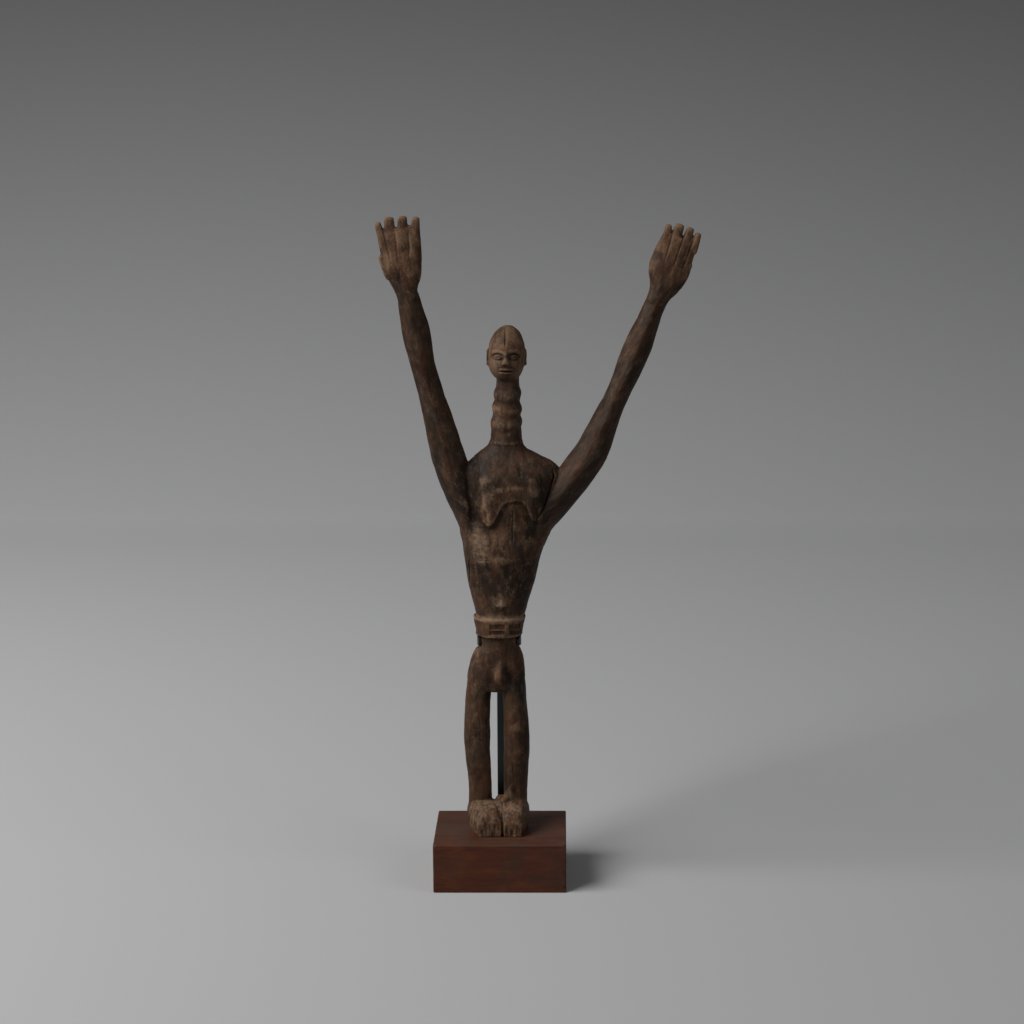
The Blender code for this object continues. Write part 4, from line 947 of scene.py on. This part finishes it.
class Nodes:
    """A short way to build a material's node tree."""

    def __init__(self, name):
        self.material = bpy.data.materials.new(name)
        self.material.use_nodes = True
        self.tree = self.material.node_tree
        self.shader = self.tree.nodes["Principled BSDF"]

    def add(self, kind, **settings):
        node = self.tree.nodes.new(kind)
        for name, value in settings.items():
            setattr(node, name, value)
        return node

    def link(self, source, target):
        self.tree.links.new(source, target)

    def fill(self, socket, value):
        if isinstance(value, bpy.types.NodeSocket):
            self.link(value, socket)
        elif isinstance(value, tuple) and len(value) == 3 and socket.type == "RGBA":
            socket.default_value = (*value, 1.0)
        else:
            socket.default_value = value

    def attribute(self, name, output="Fac"):
        return self.add("ShaderNodeAttribute", attribute_name=name).outputs[output]

    def noise(self, place, scales, detail, roughness=0.6, distortion=0.0):
        """Noise with its own scale along X, Y and Z."""
        mapping = self.add("ShaderNodeMapping")
        self.link(place, mapping.inputs["Vector"])
        mapping.inputs["Scale"].default_value = scales
        node = self.add("ShaderNodeTexNoise")
        self.link(mapping.outputs["Vector"], node.inputs["Vector"])
        settings = {"Scale": 1.0, "Detail": detail, "Roughness": roughness, "Distortion": distortion}
        for name, number in settings.items():
            node.inputs[name].default_value = number
        return node.outputs["Fac"]

    def spread(self, value, low, high, to_low=0.0, to_high=1.0):
        node = self.add("ShaderNodeMapRange")
        for name, number in (("From Min", low), ("From Max", high), ("To Min", to_low), ("To Max", to_high)):
            node.inputs[name].default_value = number
        self.link(value, node.inputs["Value"])
        return node.outputs["Result"]

    def math(self, operation, a, b, clamp=False):
        node = self.add("ShaderNodeMath", operation=operation, use_clamp=clamp)
        self.fill(node.inputs[0], a)
        self.fill(node.inputs[1], b)
        return node.outputs[0]

    def times(self, a, b, clamp=False):
        return self.math("MULTIPLY", a, b, clamp)

    def mix(self, share, a, b):
        node = self.add("ShaderNodeMix", data_type="RGBA")
        for i, value in ((0, share), (6, a), (7, b)):
            self.fill(node.inputs[i], value)
        return node.outputs[2]

    def layers(self, base, *layers):
        """Lays each colour over the ones before it, by its own share."""
        for share, colour in layers:
            base = self.mix(share, base, colour)
        return base

    def part(self, vector, axis):
        split = self.add("ShaderNodeSeparateXYZ")
        self.link(vector, split.inputs[0])
        return split.outputs[axis]

    def surface(self, base, roughness, specular=0.5, metallic=0.0):
        inputs = self.shader.inputs
        self.fill(inputs["Base Color"], base)
        self.fill(inputs["Roughness"], roughness)
        inputs["Specular IOR Level"].default_value = specular
        inputs["Metallic"].default_value = metallic

    def bump(self, height, strength, distance):
        node = self.add("ShaderNodeBump")
        node.inputs["Strength"].default_value = strength
        node.inputs["Distance"].default_value = distance
        self.link(height, node.inputs["Height"])
        self.link(node.outputs["Normal"], self.shader.inputs["Normal"])


def old_wood():
    """Dark handled wood: patches of grey and red brown, pale where worn, nearly black where oil stayed, with
    the painted shade and painted highlights that the stored layers carry.
    """
    n = Nodes("old_wood")
    grain = n.attribute("grain", "Vector")
    streaks = n.noise(grain, (560, 560, 48), 4.0, 0.6, 0.2)
    mottle = n.noise(grain, (150, 150, 95), 5.0, 0.6, 0.3)
    fine = n.noise(grain, (800, 800, 420), 3.0)
    cloud = n.noise(grain, (60, 60, 34), 4.0, 0.6, 0.5)
    hue = n.noise(grain, (75, 75, 40), 3.0, 0.55, 0.4)
    ground = n.mix(n.spread(hue, 0.42, 0.6), (0.078, 0.031, 0.015), (0.066, 0.045, 0.029))
    base = n.mix(n.spread(mottle, 0.28, 0.66), (0.02, 0.01, 0.0058), ground)
    calm = n.math("SUBTRACT", 1.0, n.attribute("smear"), True)
    streaky = n.times(calm, n.spread(streaks, 0.42, 0.7, 0.0, 0.5))
    warmth = n.attribute("warmth")
    warm = n.times(warmth, n.spread(cloud, 0.34, 0.62, 0.1, 0.75), True)
    dark_and_shade = n.times(n.attribute("dark_and_shade"), n.spread(mottle, 0.34, 0.64, 1.12, 0.74), True)
    # The pale layer also brings in the painted highlights of the sheen spots
    worn = n.math("ADD", n.attribute("wear"), n.spread(fine, 0.3, 0.7, -0.22, 0.22))
    worn = n.math("ADD", worn, n.spread(mottle, 0.34, 0.66, -0.18, 0.18))
    worn = n.spread(worn, 0.08, 1.15)
    bare = n.mix(n.times(warmth, 0.8), (0.235, 0.16, 0.108), (0.215, 0.12, 0.06))
    base = n.layers(
        base,
        (streaky, (0.1, 0.06, 0.036)),
        (warm, (0.118, 0.052, 0.024)),
        (n.times(dark_and_shade, 0.9), (0.01, 0.006, 0.0042)),
        (n.times(worn, 0.85, True), bare),
        (n.times(n.attribute("dust"), 0.32), (0.15, 0.116, 0.086)),
    )
    dull = n.spread(mottle, 0.35, 0.65, 0.5, 0.66)
    n.surface(base, n.math("ADD", dull, n.times(worn, 0.14)), specular=0.13)
    height = n.math("ADD", n.times(mottle, 0.9), n.times(fine, 0.4))
    n.bump(n.math("ADD", height, n.times(streaks, 0.3)), 0.6, 0.0007)
    return n.material


def red_wood():
    """Dark red-brown stained wood: level grain, old stains, pale nicks and dust on its top."""
    n = Nodes("red_wood")
    place = n.add("ShaderNodeTexCoord").outputs["Object"]
    up = n.spread(n.part(n.add("ShaderNodeNewGeometry").outputs["Normal"], "Z"), 0.5, 0.9)
    grain = n.noise(place, (9, 160, 160), 5.0, 0.6, 0.8)
    pores = n.noise(place, (60, 900, 900), 3.0, 0.7)
    cloud = n.noise(place, (22, 26, 30), 5.0, 0.65, 0.6)
    specks = n.noise(place, (420, 420, 420), 2.0, 0.5)
    patches = n.noise(place, (34, 40, 70), 5.0, 0.62, 0.4)
    scratch = n.math("ADD", n.attribute("scratch"), n.spread(specks, 0.3, 0.7, -0.6, 0.1))
    base = n.layers(
        (0.046, 0.0122, 0.0058),
        (n.spread(grain, 0.3, 0.7), (0.086, 0.0225, 0.0086)),
        (n.spread(patches, 0.46, 0.7, 0.0, 0.6), (0.112, 0.034, 0.012)),
        (n.spread(pores, 0.55, 0.75, 0.0, 0.5), (0.022, 0.008, 0.005)),
        (n.spread(cloud, 0.48, 0.66, 0.0, 0.65), (0.04, 0.02, 0.0125)),
        (n.times(n.attribute("wear"), 0.3), (0.12, 0.062, 0.042)),
        (n.spread(specks, 0.76, 0.84, 0.0, 0.4), (0.2, 0.13, 0.095)),
        (n.times(up, n.spread(cloud, 0.3, 0.7, 0.05, 0.5), True), (0.085, 0.062, 0.046)),
        (n.spread(scratch, 0.1, 0.8, 0.0, 0.6), (0.2, 0.14, 0.105)),
    )
    n.surface(base, n.spread(cloud, 0.3, 0.7, 0.4, 0.58), specular=0.2)
    n.bump(n.math("ADD", grain, n.times(pores, 0.6)), 0.35, 0.0003)
    return n.material


STRIP_HEIGHT = 0.0095  # height of the band at the top of the support that is blackest


def black_steel(piece):
    """Blackened steel, faintly streaked, with a trace of brown, and blackest at the waist strip."""
    n = Nodes("blackened_steel")
    place = n.add("ShaderNodeTexCoord").outputs["Object"]
    cloud = n.noise(place, (90, 90, 30), 5.0)
    fine = n.noise(place, (900, 900, 160), 3.0)
    foot = (piece.matrix_world.inverted() @ Vector(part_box(piece.name)[1]))[2] - STRIP_HEIGHT
    base = n.layers(
        (0.044, 0.052, 0.056),
        (n.spread(cloud, 0.35, 0.7), (0.08, 0.09, 0.094)),
        (n.spread(n.part(place, "Z"), foot - 0.006, foot), (0.016, 0.015, 0.016)),
        (n.spread(fine, 0.55, 0.75, 0.0, 0.4), (0.07, 0.06, 0.052)),
    )
    n.surface(base, n.spread(cloud, 0.3, 0.7, 0.42, 0.62), metallic=0.15)
    n.bump(fine, 0.25, 0.0002)
    return n.material


# Studio: a pale floor that sweeps up into the wall behind (metres), painted lighter across the middle as a
# painted pool of light and darker up the wall as painted shade
FLOOR_HALF_WIDTH = 4.0
FLOOR_FRONT = -4.0
SWEEP_START = 1.6
SWEEP_RADIUS = 1.2
WALL_TOP = 4.0
FRONT_TONE = 0.4
PAINTED_LIGHT_MIDDLE_TONE = 0.6
PAINTED_SHADE_WALL_TONE = 0.19


def studio_floor():
    profile = [(FLOOR_FRONT, 0.0), (SWEEP_START, 0.0)]
    for angle in np.radians(np.linspace(0, 90, 24))[1:]:
        profile.append((SWEEP_START + SWEEP_RADIUS * np.sin(angle), SWEEP_RADIUS * (1 - np.cos(angle))))
    profile.append((profile[-1][0], WALL_TOP))
    corners = [(side * FLOOR_HALF_WIDTH, y, z) for y, z in profile for side in (-1, 1)]
    faces = [(2 * i, 2 * i + 1, 2 * i + 3, 2 * i + 2) for i in range(len(profile) - 1)]
    mesh = bpy.data.meshes.new("studio_floor")
    mesh.from_pydata(corners, [], faces)
    mesh.shade_smooth()
    n = Nodes("paper_with_painted_light")
    place = n.add("ShaderNodeTexCoord").outputs["Object"]
    depth = n.spread(n.part(place, "Y"), -0.5, SWEEP_START)
    height = n.math("POWER", n.spread(n.part(place, "Z"), 0.01, 1.0), 0.6)
    # Painted light: the tone rises towards the middle of the floor and falls away up the wall, in place of a
    # lamp's pool and falloff
    n.surface(n.layers((FRONT_TONE,) * 3, (depth, (PAINTED_LIGHT_MIDDLE_TONE,) * 3), (height, (PAINTED_SHADE_WALL_TONE,) * 3)), 0.9)
    mesh.materials.append(n.material)
    placed("studio_floor", mesh)


def area_light(name, place, target, size, power):
    light = bpy.data.lights.new(name, "AREA")
    light.shape = "RECTANGLE"
    light.size, light.size_y = size
    light.energy = power
    lamp = placed(name, light)
    lamp.location = place
    lamp.rotation_euler = (Vector(target) - Vector(place)).to_track_quat("-Z", "Y").to_euler()


def light_studio():
    area_light("key", (-1.9, -1.0, 2.1), (0, -0.1, 0.2), (2.0, 1.6), 92)
    area_light("fill", (2.2, -1.2, 2.0), (0, 0, 0.2), (1.6, 1.3), 11)
    world = bpy.context.scene.world or bpy.data.worlds.new("studio")
    bpy.context.scene.world = world
    world.use_nodes = True
    background = world.node_tree.nodes["Background"]
    background.inputs["Color"].default_value = (0.88, 0.9, 0.92, 1.0)
    background.inputs["Strength"].default_value = 0.085


def place_camera():
    camera = bpy.data.cameras.new("camera")
    camera.lens = CAMERA_LENS
    camera.sensor_width = 36.0
    camera.shift_x = CAMERA_SHIFT
    rig = placed("camera", camera)
    rig.location = CAMERA_PLACE
    rig.rotation_euler = (np.radians(90 - CAMERA_PITCH_DEG), 0, 0)
    bpy.context.scene.camera = rig
    bpy.context.scene.view_settings.view_transform = "Standard"


def dress(piece, material, node):
    piece.data.materials.clear()
    piece.data.materials.append(material)
    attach(piece, "root")
    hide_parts(node)


def main():
    place_camera()
    light_studio()
    studio_floor()
    dress(figure_piece(), old_wood(), "figure")
    dress(plinth_piece(), red_wood(), "plinth")
    support = bpy.data.objects["steel_support"]
    support.material_slots[0].material = black_steel(support)


main()
